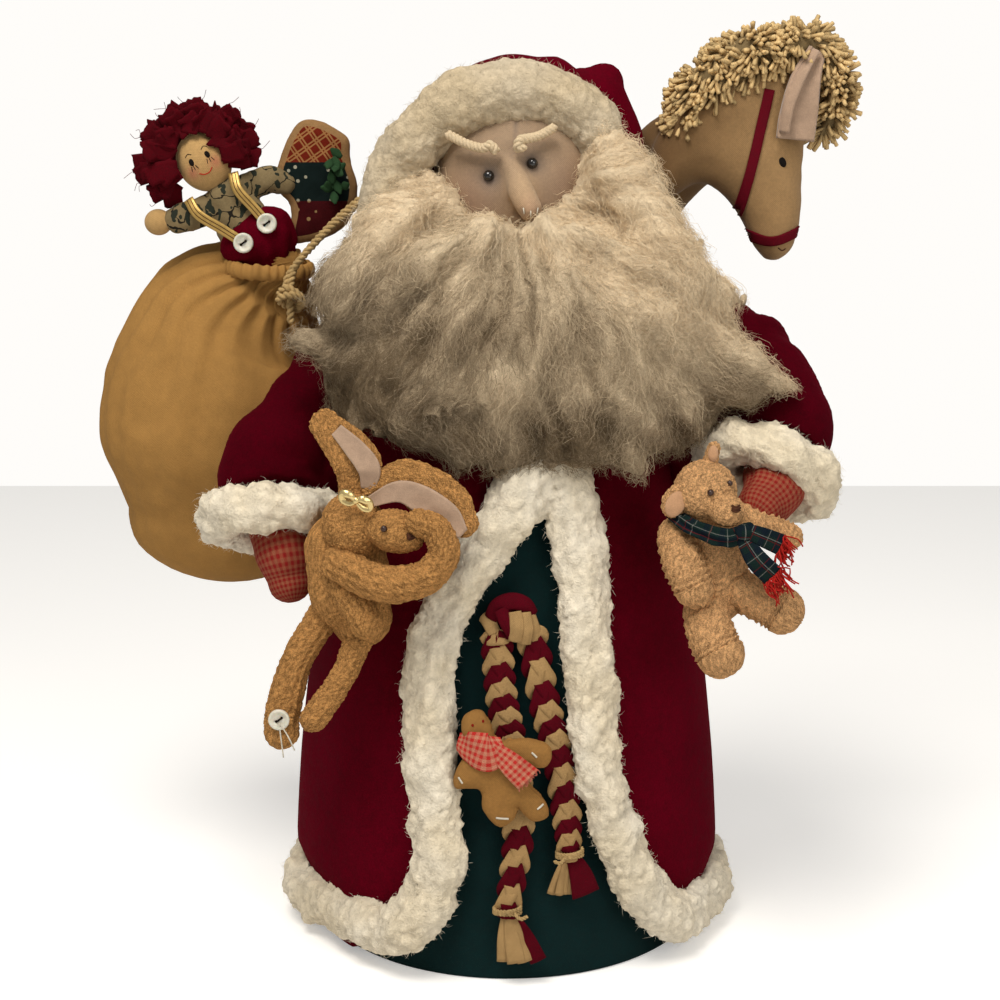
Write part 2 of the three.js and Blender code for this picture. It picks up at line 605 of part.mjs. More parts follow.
// Rabbit in the figure's right hand
const RABBIT = {
  head: { at: [-82, -114, 256], radii: [17, 15, 19], tilt: -15 },
  muzzle: { at: [-61, -127, 257], radii: [14, 11, 10], tilt: 12 },
  body: [[[-89, -98, 240], [-84, -99, 216], [-80, -99, 204]], [21, 23, 17]],
  bow: [[-85, -130, 275], [-74, -132, 272]],
  bowRadii: [6, 3, 4],
  button: [-123, -120, 152],
};
const RABBIT_EARS = {
  upright: [[[-80, -114, 270], [-80, -117, 291], [-97, -115, 311]], [9, 13, 8]],
  drooping: [[[-74, -117, 274], [-54, -121, 281], [-34, -125, 270], [-23, -127, 260]], [7, 12, 14, 8]],
};
const EAR_DEPTH = 3;
const EAR_TIP = 7;
const RABBIT_LIMBS = {
  arm_raised: [
    [
      [-90, -122, 238], [-68, -133, 230], [-46, -135, 232], [-34, -134, 245], [-38, -134, 258],
      [-47, -134, 262],
    ],
    [8, 8, 7.6, 7.2, 7, 6.5],
    { rows: 7 },
  ],
  arm_hanging: [[[-94, -110, 232], [-87, -117, 218], [-79, -121, 205]], [9.5, 9.5, 8.5]],
  leg_outer: [
    [[-98, -98, 207], [-114, -103, 182], [-122, -106, 155], [-123, -110, 142]],
    [10, 10, 10.5, 10],
    { rows: 4 },
  ],
  leg_inner: [[[-80, -106, 195], [-89, -112, 174], [-105, -119, 152]], [9, 8.5, 8.5]],
};

function rabbit() {
  const toy = group(-88, -110, 230);
  const { head, muzzle } = RABBIT;
  const skull = ball(head.at, head.radii, { tilt: head.tilt });
  const snout = ball(muzzle.at, muzzle.radii, { sides: 7, rows: 5, tilt: muzzle.tilt });
  add(toy, "rabbit_head", "rabbit_terry", join(skull, snout));
  add(toy, "rabbit_body", "rabbit_terry", limb(...RABBIT.body, { sides: 7 }));
  for (const [name, [route, widths]] of Object.entries(RABBIT_EARS)) {
    const depths = widths.map(() => EAR_DEPTH);
    const ear = limb(route, widths, { depths, rows: 4, caps: [EAR_DEPTH, EAR_TIP] });
    add(toy, `rabbit_ear_${name}`, "rabbit_terry", ear);
  }
  for (const [name, form] of Object.entries(RABBIT_LIMBS)) {
    add(toy, `rabbit_${name}`, "rabbit_terry", limb(...form));
  }
  add(toy, "rabbit_button", "shell_button", button(...RABBIT.button));
  const loops = RABBIT.bow.map((at) => ball(at, RABBIT.bowRadii, { sides: 6, rows: 4, tilt: 15 }));
  add(toy, "rabbit_bow", "gold_ribbon", join(...loops));
}

// Bear in the figure's left hand
const BEAR = {
  head: { at: [103, -111, 274], radii: [17, 15, 17] },
  muzzle: { at: [113, -124, 266], radii: [9.5, 9, 8.5] },
  body: [[[104, -103, 252], [107, -104, 234], [108, -104, 218]], [17, 20, 19]],
  ear_left: [[[105, -109, 288], [107, -109, 297]], [4.5, 3.5]],
  ear_right: { at: [87, -116, 270], radii: [7, 4.5, 9.5], tilt: 25 },
};
const BEAR_LIMBS = {
  bear_arm_right: [[[88, -108, 250], [92, -118, 236], [97, -121, 224]], [10, 11, 10.5]],
  bear_arm_left: [[[122, -104, 260], [138, -106, 253], [149, -107, 249]], [8, 8, 7]],
  bear_leg_right: [[[104, -110, 212], [107, -121, 198], [111, -125, 190]], [12, 13, 13]],
  bear_leg_left: [[[120, -108, 222], [136, -113, 215], [144, -115, 211]], [11, 12, 12.5]],
};
const BEAR_SCARF = [
  [[86, -112, 262], [96, -124, 257], [112, -130, 253], [126, -126, 259]],
  [6, 7, 7, 6],
  [4, 4, 4, 4],
];
const SCARF_TAILS = [
  [[122, -128, 260], [132, -131, 252], [141, -131, 243]],
  [[120, -130, 256], [130, -133, 240], [138, -133, 228]],
];
const SCARF_TAIL_WIDTHS = [6, 7.5, 8];
const SCARF_TAIL_DEPTHS = [2.5, 2.5, 2.5];

function bear() {
  const toy = group(104, -108, 240);
  const skull = ball(BEAR.head.at, BEAR.head.radii);
  const snout = ball(BEAR.muzzle.at, BEAR.muzzle.radii, { sides: 7, rows: 5 });
  add(toy, "bear_head", "bear_terry", join(skull, snout));
  add(toy, "bear_body", "bear_terry", limb(...BEAR.body, { sides: 7 }));
  add(toy, "bear_ear_left", "bear_terry", limb(...BEAR.ear_left, { rows: 1 }));
  const { at, radii, tilt } = BEAR.ear_right;
  add(toy, "bear_ear_right", "bear_terry", ball(at, radii, { sides: 7, rows: 5, tilt }));
  for (const [name, form] of Object.entries(BEAR_LIMBS)) {
    add(toy, name, "bear_terry", limb(...form));
  }
  const wrap = flatLimb(BEAR_SCARF, { sides: 5, endRows: 1 });
  const tails = SCARF_TAILS.map((route) =>
    flatLimb([route, SCARF_TAIL_WIDTHS, SCARF_TAIL_DEPTHS], { sides: 4, endRows: 1, rows: 2, caps: [1, 1] }),
  );
  add(toy, "bear_scarf", "plaid", join(wrap, ...tails));
}

// Braided belt that hangs down the front of the gown, and the gingerbread man on it
const BRAID_PITCH = 11; // from one crossing of the strands to the next
const BRAID_WAIST = 0.84; // its width between two crossings, as a share
const TIED_HALF = 6.5; // half the braid's width where twine draws it in
const TASSEL = { widths: [TIED_HALF, 10, 13], depths: [3.5, 4.5, 5] };
const TIE = { radii: [9.4, 6.3], thick: 1.3, height: 3, sides: 4, steps: 9 };
const KNOT = { places: [[-17, 201, 9], [0, 209, 12], [18, 204, 9]], widths: [9, 11, 9], depths: [7, 9, 7] };
const GINGERBREAD_OUTLINE = [
  [-10, 149], [-15, 158], [-24, 155], [-25, 146], [-20, 138], [-28, 126], [-29, 115], [-16, 114],
  [-14, 102], [-5, 93], [3, 98], [4, 105], [12, 96], [21, 99], [19, 107], [7, 120], [8, 126], [20, 127],
  [22, 137], [10, 142], [-6, 141],
];
const GINGERBREAD_PLANE = -122;
const GINGERBREAD_THICKNESS = 9;
const TOY_BEVEL = 3; // on the flat padded toys
const GINGERBREAD_SCARF = [[[-24, -124, 139], [-11, -128, 136], [11, -129, 120]], [5, 8, 9], [4, 3.5, 3]];
const BELT_TAILS = {
  right: { top: [-4, 196], bends: [[-1, 160], [5, 131], [8, 87]], tie: [1, 44], tip: [8, 17] },
  left: { top: [15, 198], bends: [[22, 158], [29, 131], [33, 98]], tie: [36, 74], tip: [36, 51] },
};

function beltTail({ top, bends, tie }) {
  const route = [top, ...bends, tie].map(([x, z]) => onGown(x, z, BELT_STANDOFF));
  const crossings = Math.round((top[1] - tie[1]) / BRAID_PITCH);
  const widths = [];
  for (let i = 0; i < crossings; i++) widths.push(BELT_HALF * (i % 2 ? BRAID_WAIST : 1));
  widths.push(TIED_HALF);
  const path = spline(route);
  const places = widths.map((_, i) => path.getPoint(i / crossings).toArray());
  const depths = widths.map(() => BELT_DEPTH);
  return flatLimb([places, widths, depths], {
    sides: 4,
    rows: crossings,
    endRows: 1,
    out: awayFromAxis,
    caps: [2, 2],
  });
}

function tassel({ tie, tip }) {
  const route = [tie, [(tie[0] + tip[0]) / 2, (tie[1] + tip[1]) / 2], tip];
  const places = route.map(([x, z]) => onGown(x, z, BELT_STANDOFF));
  const settings = { rows: 2, endRows: 1, out: awayFromAxis, caps: [1, 1] };
  return flatLimb([places, TASSEL.widths, TASSEL.depths], settings);
}

function belt() {
  const hanging = group(8, -105, 120);
  const places = KNOT.places.map((place) => onGown(...place));
  const knot = flatLimb([places, KNOT.widths, KNOT.depths], { rows: 2 });
  const tails = Object.values(BELT_TAILS).map((tail) => join(beltTail(tail), tassel(tail)));
  add(hanging, "braided_belt", "burgundy_cloth", join(knot, ...tails));
  for (const [side, { tie }] of Object.entries(BELT_TAILS)) {
    const at = onGown(...tie, BELT_STANDOFF);
    add(hanging, `tassel_tie_${side}`, "cord", ring({ at, long: [1, 0, 0], axis: [0, 0, 1], ...TIE }));
  }
}

function gingerbreadMan() {
  const toy = group(-6, -116, 126);
  const biscuit = [GINGERBREAD_OUTLINE, GINGERBREAD_PLANE, GINGERBREAD_THICKNESS];
  add(toy, "gingerbread", "gingerbread_cloth", padded(...biscuit, { bevel: TOY_BEVEL }));
  const scarf = flatLimb(GINGERBREAD_SCARF, { rows: 2, endRows: 1, caps: [1, 1] });
  add(toy, "gingerbread_scarf", "gingham", scarf);
}

// Making order: what lies underneath comes first
const body = group(0, 0, 0);
add(body, "gown", "green_cloth", gown());
add(body, "coat", "burgundy_cloth", coat());
add(body, "coat_trim", "fleece", coatTrim());
arms(body);

const top = group(...HEAD.at);
face(top);
add(top, "hood", "burgundy_cloth", hood());
add(top, "hood_trim", "fleece", hoodTrim());

horse();

const bundle = group(-165, 38, 300);
add(bundle, "sack", "muslin", sack());
sackDoll(bundle);
const ornament = padded(ORNAMENT_OUTLINE, ORNAMENT_PLANE, ORNAMENT_THICKNESS, { bevel: TOY_BEVEL });
add(bundle, "toy_ornament", "patchwork", ornament);
add(bundle, "sack_cord", "cord", sackCord());

belt();
gingerbreadMan();
add(top, "beard", "wool", beard());
rabbit();
bear();

export default santa;
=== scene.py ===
# A cloth Father Christmas figure with a sack of toys and a toy in each hand: its fabrics, wool and stage.
# Blender's lengths are metres. The measures here are millimetres, +Z up, the figure facing -Y.
import math

import bmesh
import bpy
import numpy as np
from bpy.props import FloatProperty, FloatVectorProperty, PointerProperty
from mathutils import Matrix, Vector
from mathutils.bvhtree import BVHTree


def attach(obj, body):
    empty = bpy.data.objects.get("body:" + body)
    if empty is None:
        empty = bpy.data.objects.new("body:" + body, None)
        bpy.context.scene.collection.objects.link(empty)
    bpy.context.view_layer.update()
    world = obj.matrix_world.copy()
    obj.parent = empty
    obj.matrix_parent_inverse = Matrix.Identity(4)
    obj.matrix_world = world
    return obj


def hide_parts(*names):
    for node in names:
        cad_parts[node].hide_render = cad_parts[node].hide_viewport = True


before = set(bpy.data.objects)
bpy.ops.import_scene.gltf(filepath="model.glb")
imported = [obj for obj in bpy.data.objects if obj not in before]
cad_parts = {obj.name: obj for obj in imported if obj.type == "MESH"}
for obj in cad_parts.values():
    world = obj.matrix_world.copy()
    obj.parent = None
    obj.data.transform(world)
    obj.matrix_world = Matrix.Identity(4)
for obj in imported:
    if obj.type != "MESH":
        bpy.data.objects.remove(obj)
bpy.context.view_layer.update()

bl_info = {
    "name": "Cloth Father Christmas figure",
    "version": (1, 0, 0),
    "blender": (4, 5, 0),
    "location": "3D View > Sidebar > Santa",
    "description": "Makes the figure's cloth, fleece, wool and toys round its solid model",
    "category": "Add Mesh",
}

MM = 0.001
FRONT = np.array([0.0, -1.0, 0.0])
BEHIND = np.array([0.0, 1.0, 0.0])
UP = np.array([0.0, 0.0, 1.0])
SMALL = 1e-9

# The dressed body, as the solid model has it
HEM_RADIUS = 119
SHOULDER_HEIGHT = 310
SHOULDER_RISE = 75
NECK_HEIGHT = 378
COAT_CLOTH = 5
GOWN_GAP = 0.5
FLEECE_HALF = 16
FLEECE_DEPTH = 9
HEM_BAND_HEIGHT = 20
FULLNESS = ((0, 0), (20, 0), (45, 0.1), (100, 0.1), (200, 0.085), (310, 0.06), (366, 0))


# Numbers and curves

def unit(vectors):
    return vectors / np.maximum(np.linalg.norm(vectors, axis=-1, keepdims=True), SMALL)


def dot(a, b):
    return (a * b).sum(-1, keepdims=True)


def spline(a, b, c, d, f):
    """The stretch from b to c of a smooth curve through four points, with f from 0 to 1 along it."""
    return 0.5 * (2 * b + (c - a) * f + (2 * a - 5 * b + 4 * c - d) * f**2 + (3 * (b - c) + d - a) * f**3)


def through(points, t):
    """Places at t, from 0 to 1, on a smooth curve through the points."""
    p = np.asarray(points, float)
    p = np.vstack([2 * p[0] - p[1], p, 2 * p[-1] - p[-2]])
    along = np.clip(np.asarray(t, float) * (len(p) - 3), 0, len(p) - 3 - SMALL)
    i = along.astype(int)
    return spline(p[i], p[i + 1], p[i + 2], p[i + 3], (along - i)[:, None])


def values(points, t):
    return through(np.asarray(points, float)[:, None], t)[:, 0]


def length_of(points):
    return np.linalg.norm(np.diff(points, axis=0), axis=-1).sum()


def angles(count):
    """Evenly spaced angles round a full turn."""
    return np.linspace(0, 2 * math.pi, count, endpoint=False)


def bump(x, width):
    """A smooth rise to 1 where x is 0."""
    return np.exp(-(x**2) / width)


def lattice(cell, seed):
    """A repeatable value from -1 to 1 for each whole-numbered cell."""
    n = cell[..., 0] * 73856093 ^ cell[..., 1] * 19349663 ^ cell[..., 2] * 83492791 ^ seed * 50331653
    n = (n ^ (n >> 13)) * 1274126177 & 0xFFFFFFFF
    n = (n ^ (n >> 15)) * 668265263 & 0xFFFFFFFF
    return ((n >> 8) & 0xFFFF) / 32767.5 - 1


def noise(points, size, seed=0):
    """Smooth hills and hollows from -1 to 1, about size across."""
    p = points / size
    cell = np.floor(p).astype(np.int64)
    f = p - cell
    f = f * f * (3 - 2 * f)
    total = 0
    for corner in np.ndindex(2, 2, 2):
        weight = np.prod(np.where(corner, f, 1 - f), axis=-1)
        total = total + weight * lattice(cell + np.array(corner), seed)
    return total


def drift(points, size, seed=0):
    """A smooth wandering vector at each point."""
    return np.stack([noise(points, size, seed + k) for k in (11, 12, 13)], -1)


def tufts(points, size, seed=0):
    """Rounded knobs packed size apart: 1 on top of a knob and 0 in the seam between two."""
    p = points / size
    home = np.floor(p).astype(np.int64)
    near = np.full(p.shape[:-1], 9.0)
    after = near.copy()
    for step in np.ndindex(3, 3, 3):
        cell = home + np.array(step) - 1
        middle = cell + 0.5 + 0.4 * np.stack([lattice(cell, seed + k) for k in (1, 2, 3)], -1)
        far = np.linalg.norm(middle - p, axis=-1)
        after = np.minimum(after, np.maximum(near, far))
        near = np.minimum(near, far)
    return 1 - (1 - np.clip(1.3 * (after - near), 0, 1)) ** 2


def from_edge(flat, outline):
    """How far each flat point lies from a closed outline."""
    start = np.asarray(outline, float)
    step = np.roll(start, -1, 0) - start
    offset = flat[:, None] - start
    share = np.clip((offset * step).sum(-1) / (step**2).sum(-1), 0, 1)
    return np.linalg.norm(offset - share[..., None] * step, axis=-1).min(1)


# Grids

def limb(route, widths, depths=None, rows=30, sides=24, out=BEHIND, caps=None, tuck=0, ends=6, swell=None):
    """Rings of points along a smooth route, drawn in to round ends. Widths and depths are half sizes.
    swell(t, angle, places) gives how far each point stands out from the plain form."""
    depths = widths if depths is None else depths
    caps = caps or (min(widths[0], depths[0]), min(widths[-1], depths[-1]))
    row = np.arange(rows + 2 * ends + 1)
    t = np.clip((row - ends) / rows, 0, 1)
    from_end = np.minimum(np.minimum(row, row[::-1]), ends) / ends * math.pi / 2
    ring = np.sin(from_end)[:, None, None]
    beyond = np.cos(from_end) * np.where(t < 0.5, -caps[0], caps[1])
    place = through(route, t)
    along = unit(through(route, t + 0.01) - through(route, t - 0.01))
    along[0] = along[ends]
    along[-1] = along[-1 - ends]
    outward = out(place) if callable(out) else np.broadcast_to(out, place.shape)
    depthwise = unit(outward - along * dot(outward, along))
    across = np.cross(depthwise, along)
    angle = angles(sides)
    c = np.cos(angle)[:, None]
    s = (np.sin(angle) - tuck * np.cos(angle) ** 4)[:, None]
    wide = values(widths, t)[:, None, None]
    deep = values(depths, t)[:, None, None]
    round_it = (-across[:, None] * c * wide + depthwise[:, None] * s * deep) * ring
    grid = (place + along * beyond[:, None])[:, None] + round_it
    if swell is not None:
        spoke = unit(-across[:, None] * c + depthwise[:, None] * s)
        grid = grid + spoke * ring * swell(t[:, None], angle[None], grid)[..., None]
    return grid


def ball(at, radii, rows=24, sides=32, tilt=0):
    """Rings of an egg shape, tilted in the plane seen from the front."""
    rise = np.linspace(math.pi, 0, rows)[:, None]
    turn = angles(sides)[None]
    grid = np.stack([np.sin(rise) * np.cos(turn), np.sin(rise) * np.sin(turn), np.cos(rise) + 0 * turn], -1)
    return tilted(grid * np.array(radii, float), tilt) + np.array(at, float)


def tilted(grid, degrees):
    c, s = math.cos(math.radians(degrees)), math.sin(math.radians(degrees))
    x, y, z = np.moveaxis(grid, -1, 0)
    return np.stack([c * x + s * z, y, c * z - s * x], -1)


def facing_front(grid):
    """Turns a form made about the vertical to lie about the front-to-back line."""
    return np.stack([grid[..., 0], -grid[..., 2], grid[..., 1]], -1)


def lathe(profile, sides=48):
    """Rings from radius and height pairs, about the vertical."""
    radius, height = np.array(profile, float).T[..., None]
    turn = angles(sides)
    return np.stack([radius * np.cos(turn), radius * np.sin(turn), height + 0 * turn], -1)


def ring(at, long, axis, radii, thick, height, rows=110, sides=52):
    """Rings of points round an oval band that lies across the axis."""
    z = unit(np.array(axis, float))
    x = np.array(long, float)
    x = unit(x - z * (x @ z))
    y = np.cross(z, x)
    turn, tube = angles(rows)[:, None, None], angles(sides)[None, :, None]
    out = np.cos(tube) * thick
    spoke = x * np.cos(turn) * (radii[0] + out) + y * np.sin(turn) * (radii[1] + out)
    return np.array(at, float) + spoke + z * np.sin(tube) * height


def strip(route, widths, out=FRONT, rows=20, columns=9, cup=0.0, ripple=0.0, seed=0):
    """Rows of points across a strip of cloth that follows a route with its face turned out. Widths are half
    sizes."""
    t = np.linspace(0, 1, rows)
    place = through(route, t)
    along = unit(np.gradient(place, axis=0))
    outward = out(place) if callable(out) else np.broadcast_to(out, place.shape)
    normal = unit(outward - along * dot(outward, along))
    across = np.cross(along, normal)
    s = np.linspace(-1, 1, columns)[None, :, None]
    half = values(widths, t)[:, None, None]
    grid = place[:, None] + across[:, None] * s * half + normal[:, None] * cup * (1 - s**2)
    return grid + normal[:, None] * (ripple * noise(grid, 9, seed))[..., None]


# Meshes

def read(items, key, width=1, kind=np.float32):
    """A value, or a row of values, for each item of a mesh."""
    flat = np.empty(len(items) * width, kind)
    items.foreach_get(key, flat)
    return flat.reshape(-1, width) if width > 1 else flat


def get_points(made):
    return read(made.data.vertices, "co", 3).astype(float) / MM


def get_normals(made):
    return read(made.data.vertex_normals, "vector", 3).astype(float)


def get_corners(made):
    """The vertex at each face corner."""
    return read(made.data.loops, "vertex_index", kind=np.int32)


def set_points(made, points):
    made.data.vertices.foreach_set("co", (points * MM).astype(np.float32).ravel())
    made.data.update()


def raise_by(made, height):
    """Moves each point out along its normal."""
    set_points(made, get_points(made) + get_normals(made) * height[:, None])


def lay_flat(mesh, places):
    """Gives each face corner its place on the flat cloth, in millimetres."""
    mesh.uv_layers.new(name="Cloth").uv.foreach_set("vector", places.astype(np.float32).ravel())


def new_piece(name, points, faces, cloth=None):
    """A mesh object from points in millimetres and a list of face arrays. cloth is a place on the flat cloth
    for each face corner, in millimetres, as arrays shaped like faces."""
    mesh = bpy.data.meshes.new(name)
    corners = np.concatenate([f.ravel() for f in faces]).astype(np.int32)
    counts = np.concatenate([np.full(len(f), f.shape[1]) for f in faces])
    mesh.vertices.add(len(points))
    mesh.vertices.foreach_set("co", (points * MM).astype(np.float32).ravel())
    mesh.loops.add(len(corners))
    mesh.loops.foreach_set("vertex_index", corners)
    mesh.polygons.add(len(counts))
    mesh.polygons.foreach_set("loop_start", (np.cumsum(counts) - counts).astype(np.int32))
    mesh.polygons.foreach_set("use_smooth", np.ones(len(counts), bool))
    mesh.update(calc_edges=True)
    if cloth is not None:
        lay_flat(mesh, np.concatenate([c.reshape(-1, 2) for c in cloth]))
    made = bpy.data.objects.new(name, mesh)
    bpy.context.scene.collection.objects.link(made)
    return made


def unlaid(faces):
    """No places on flat cloth, for forms that get them later or need none."""
    return [np.zeros((*f.shape, 2)) for f in faces]


def outwards(points, faces, cloth):
    """The faces turned so that they look out of the closed form."""
    volume = 0
    for f in faces:
        for k in range(1, f.shape[1] - 1):
            a, b, c = points[f[:, 0]], points[f[:, k]], points[f[:, k + 1]]
            volume += (a * np.cross(b, c)).sum()
    if volume > 0:
        return points, faces, cloth
    return points, [f[:, ::-1] for f in faces], [c[:, ::-1] for c in cloth]


def lengths(grid, axis):
    """Distance run along a grid's rows or columns, averaged over the others."""
    step = np.linalg.norm(np.diff(grid, axis=axis), axis=-1).mean(1 - axis)
    return np.concatenate([[0], np.cumsum(step)])


def quads_between(rows, sides, meet=False):
    """The row and column of each quad between rings, and its corners. The last ring may meet the first."""
    i, j = np.meshgrid(np.arange(rows if meet else rows - 1), np.arange(sides), indexing="ij")
    n, k = (i + 1) % rows, (j + 1) % sides
    corners = [i * sides + j, i * sides + k, n * sides + k, n * sides + j]
    return i, j, np.stack(corners, -1).reshape(-1, 4)


def quads_on_cloth(i, j, place):
    """Where each quad's corners lie on the flat cloth."""
    corners = [(j, i), (j + 1, i), (j + 1, i + 1), (j, i + 1)]
    return np.stack([np.stack(place(c, r), -1) for c, r in corners], -2).reshape(-1, 4, 2)


def fans(rows, sides, start, end):
    """Triangles from the first and the last ring to the points that close them."""
    j = np.arange(sides)
    k = (j + 1) % sides
    last = (rows - 1) * sides
    return [np.stack([k, j, 0 * j + start], -1), np.stack([last + j, last + k, 0 * j + end], -1)]


def closed(grid):
    """A closed form from rings whose first and last shrink to a point."""
    rows, sides = grid.shape[:2]
    points = np.vstack([grid[1:-1].reshape(-1, 3), grid[:1].mean(1), grid[-1:].mean(1)])
    i, j, quads = quads_between(rows - 2, sides)
    down = lengths(grid, 0)
    step = lengths(np.concatenate([grid, grid[:, :1]], 1), 1)[-1] / sides
    laid = quads_on_cloth(i, j, lambda c, r: (c * step, down[r + 1]))
    j = np.arange(sides)
    ends = []
    for near, far, order in ((down[1], down[0], (1, 0)), (down[-2], down[-1], (0, 1))):
        corner = [(j + order[0], near), (j + order[1], near), (j + 0.5, far)]
        ends.append(np.stack([np.stack([c * step, d + 0.0 * j], -1) for c, d in corner], 1))
    return outwards(points, [quads, *fans(rows - 2, sides, len(points) - 2, len(points) - 1)], [laid, *ends])


def torus(grid):
    """A closed form from rings that join up in both directions."""
    rows, sides = grid.shape[:2]
    i, j, quads = quads_between(rows, sides, meet=True)
    down, step = lengths(grid, 0)[-1] / rows, lengths(grid, 1)[-1] / sides
    return outwards(grid.reshape(-1, 3), [quads], [quads_on_cloth(i, j, lambda c, r: (c * step, r * down))])


def egg(*form, **more):
    return closed(ball(*form, **more))


def sheet(grid, thickness):
    """A sheet of cloth with its real thickness, from rows of points across its middle."""
    rows, columns = grid.shape[:2]
    normal = unit(np.cross(np.gradient(grid, axis=0), np.gradient(grid, axis=1))) * thickness / 2
    points = np.vstack([(grid + normal).reshape(-1, 3), (grid - normal).reshape(-1, 3)])
    index = np.arange(rows * columns).reshape(rows, columns)
    front = np.stack([index[:-1, :-1], index[1:, :-1], index[1:, 1:], index[:-1, 1:]], -1).reshape(-1, 4)
    border = np.concatenate([index[0, :-1], index[:-1, -1], index[-1, :0:-1], index[:0:-1, 0]])
    ahead = np.roll(border, -1)
    other = rows * columns
    rim = np.stack([border, ahead, ahead + other, border + other], -1)
    faces = [front, front[:, ::-1] + other, rim]
    across, down = lengths(grid, 1), lengths(grid, 0)
    flat = np.stack(np.broadcast_arrays(across[None], down[:, None]), -1).reshape(-1, 2)
    flat = np.vstack([flat, flat])
    return outwards(points, faces, [flat[f] for f in faces])


def joined(*forms):
    """Several forms as one set of points and faces."""
    points, faces, cloth, start = [], [], [], 0
    for form_points, form_faces, form_cloth in forms:
        points.append(form_points)
        faces += [f + start for f in form_faces]
        cloth += form_cloth
        start += len(form_points)
    return np.vstack(points), faces, cloth


def two_ways(along, lean):
    """Two directions square to a curve, from the axis that it follows least."""
    aside = np.eye(3)[lean.argmin(-1)][..., None, :]
    first = unit(aside - along * dot(aside, along))
    return first, np.cross(along, first)


def tubes(curves, radii, sides=3):
    """Closed tubes along many curves, shaped (curve, step, xyz), that end at each curve's two ends."""
    count, steps = curves.shape[:2]
    along = unit(np.gradient(curves, axis=1))
    first, second = two_ways(along, np.abs(along.mean(1)))
    turn = angles(sides)
    radius = np.broadcast_to(radii, (count, steps))[..., None, None]
    section = first[..., None, :] * np.cos(turn)[:, None] + second[..., None, :] * np.sin(turn)[:, None]
    rings = (curves[..., None, :] + section * radius)[:, 1:-1]
    inner = steps - 2
    points = np.concatenate([rings.reshape(count, -1, 3), curves[:, :1], curves[:, -1:]], 1)
    quads = quads_between(inner, sides)[2]
    ends = np.vstack(fans(inner, sides, inner * sides, inner * sides + 1))
    each = (np.arange(count) * (inner * sides + 2))[:, None, None]
    faces = [(quads + each).reshape(-1, 4), (ends + each).reshape(-1, 3)]
    return points.reshape(-1, 3), faces, unlaid(faces)


def blunt(curves, tip=0.25):
    """Curves with a point added close to each end, so that a tube keeps its thickness to the cut."""
    step = unit(curves[:, 1:2] - curves[:, :1]) * tip
    back = unit(curves[:, -1:] - curves[:, -2:-1]) * tip
    return np.concatenate([curves[:, :1] - step, curves, curves[:, -1:] + back], 1)


def plies(route, count, lay, pitch, steps):
    """The paths of the strands of a twisted cord."""
    place = through(route, np.linspace(0, 1, steps))
    along = unit(np.gradient(place, axis=0))
    first, second = two_ways(along, np.abs(along.mean(0)))
    run = np.concatenate([[0], np.cumsum(np.linalg.norm(np.diff(place, axis=0), axis=-1))])
    turn = 2 * math.pi * (run / pitch + np.arange(count)[:, None] / count)
    return place + lay * (np.cos(turn)[..., None] * first + np.sin(turn)[..., None] * second)


def settle(made):
    """Carries out a piece's modifiers and removes them."""
    bpy.context.view_layer.update()
    old = made.data
    made.data = bpy.data.meshes.new_from_object(made.evaluated_get(bpy.context.evaluated_depsgraph_get()))
    made.modifiers.clear()
    bpy.data.meshes.remove(old)
    made.data.polygons.foreach_set("use_smooth", np.ones(len(made.data.polygons), bool))
    made.data.update()


def cut(made, form):
    """Takes another form away from a piece."""
    cutter = new_piece("cutter", *form)
    tool = made.modifiers.new("cut", "BOOLEAN")
    tool.object = cutter
    tool.solver = "EXACT"
    settle(made)
    bpy.data.objects.remove(cutter)


def fused(name, voxel, rounds, *forms, minus=None):
    """One skin round several overlapping forms, with their joins softened."""
    made = new_piece(name, *joined(*forms))
    tool = made.modifiers.new("skin", "REMESH")
    tool.mode = "VOXEL"
    tool.voxel_size = voxel * MM
    settle(made)
    if minus is not None:
        cut(made, minus)
    soften(made, rounds)
    return made


def soften(made, rounds):
    """Evens out a skin without shrinking it."""
    points = get_points(made)
    edges = read(made.data.edges, "vertices", 2, np.int32)
    a, b = edges.T
    count = np.bincount(edges.ravel(), minlength=len(points))[:, None]
    for share in (0.5, -0.52) * rounds:
        total = np.stack([
            np.bincount(a, points[b, k], len(points)) + np.bincount(b, points[a, k], len(points))
            for k in range(3)
        ], -1)
        points += share * (total / count - points)
    set_points(made, points)


def form_of(made):
    """A finished piece taken back as points and faces."""
    points, corners = get_points(made), get_corners(made)
    counts = read(made.data.polygons, "loop_total", kind=np.int32)
    starts = np.cumsum(counts) - counts
    faces = []
    for n in (3, 4):
        if n in counts:
            faces.append(np.stack([corners[starts[counts == n] + k] for k in range(n)], -1))
    bpy.data.objects.remove(made)
    return points, faces, unlaid(faces)


def mark(made, name, amount):
    """Keeps a value for each vertex, for the material to read."""
    kept = np.broadcast_to(amount, len(made.data.vertices)).astype(np.float32)
    made.data.attributes.new(name, "FLOAT", "POINT").data.foreach_set("value", kept)


def mark_each(made, name, amounts):
    """Keeps a value for each of the equal strands of a piece."""
    mark(made, name, np.repeat(amounts, len(made.data.vertices) // len(amounts)))


def mottle(made, middle, spread, across, seed):
    """Marks a piece lighter and darker in places, about across apart."""
    mark(made, "shade", np.clip(middle + spread * noise(get_points(made), across, seed), 0, 1))


def lay_cloth(made):
    """Gives a skin its places on flat cloth, laid on from the side that each face looks to."""
    counts = read(made.data.polygons, "loop_total", kind=np.int32)
    side = np.repeat(np.abs(read(made.data.polygons, "normal", 3)).argmax(-1), counts)
    flat = np.array([(1, 2), (0, 2), (0, 1)])[side]
    lay_flat(made.data, np.take_along_axis(get_points(made)[get_corners(made)], flat, 1))


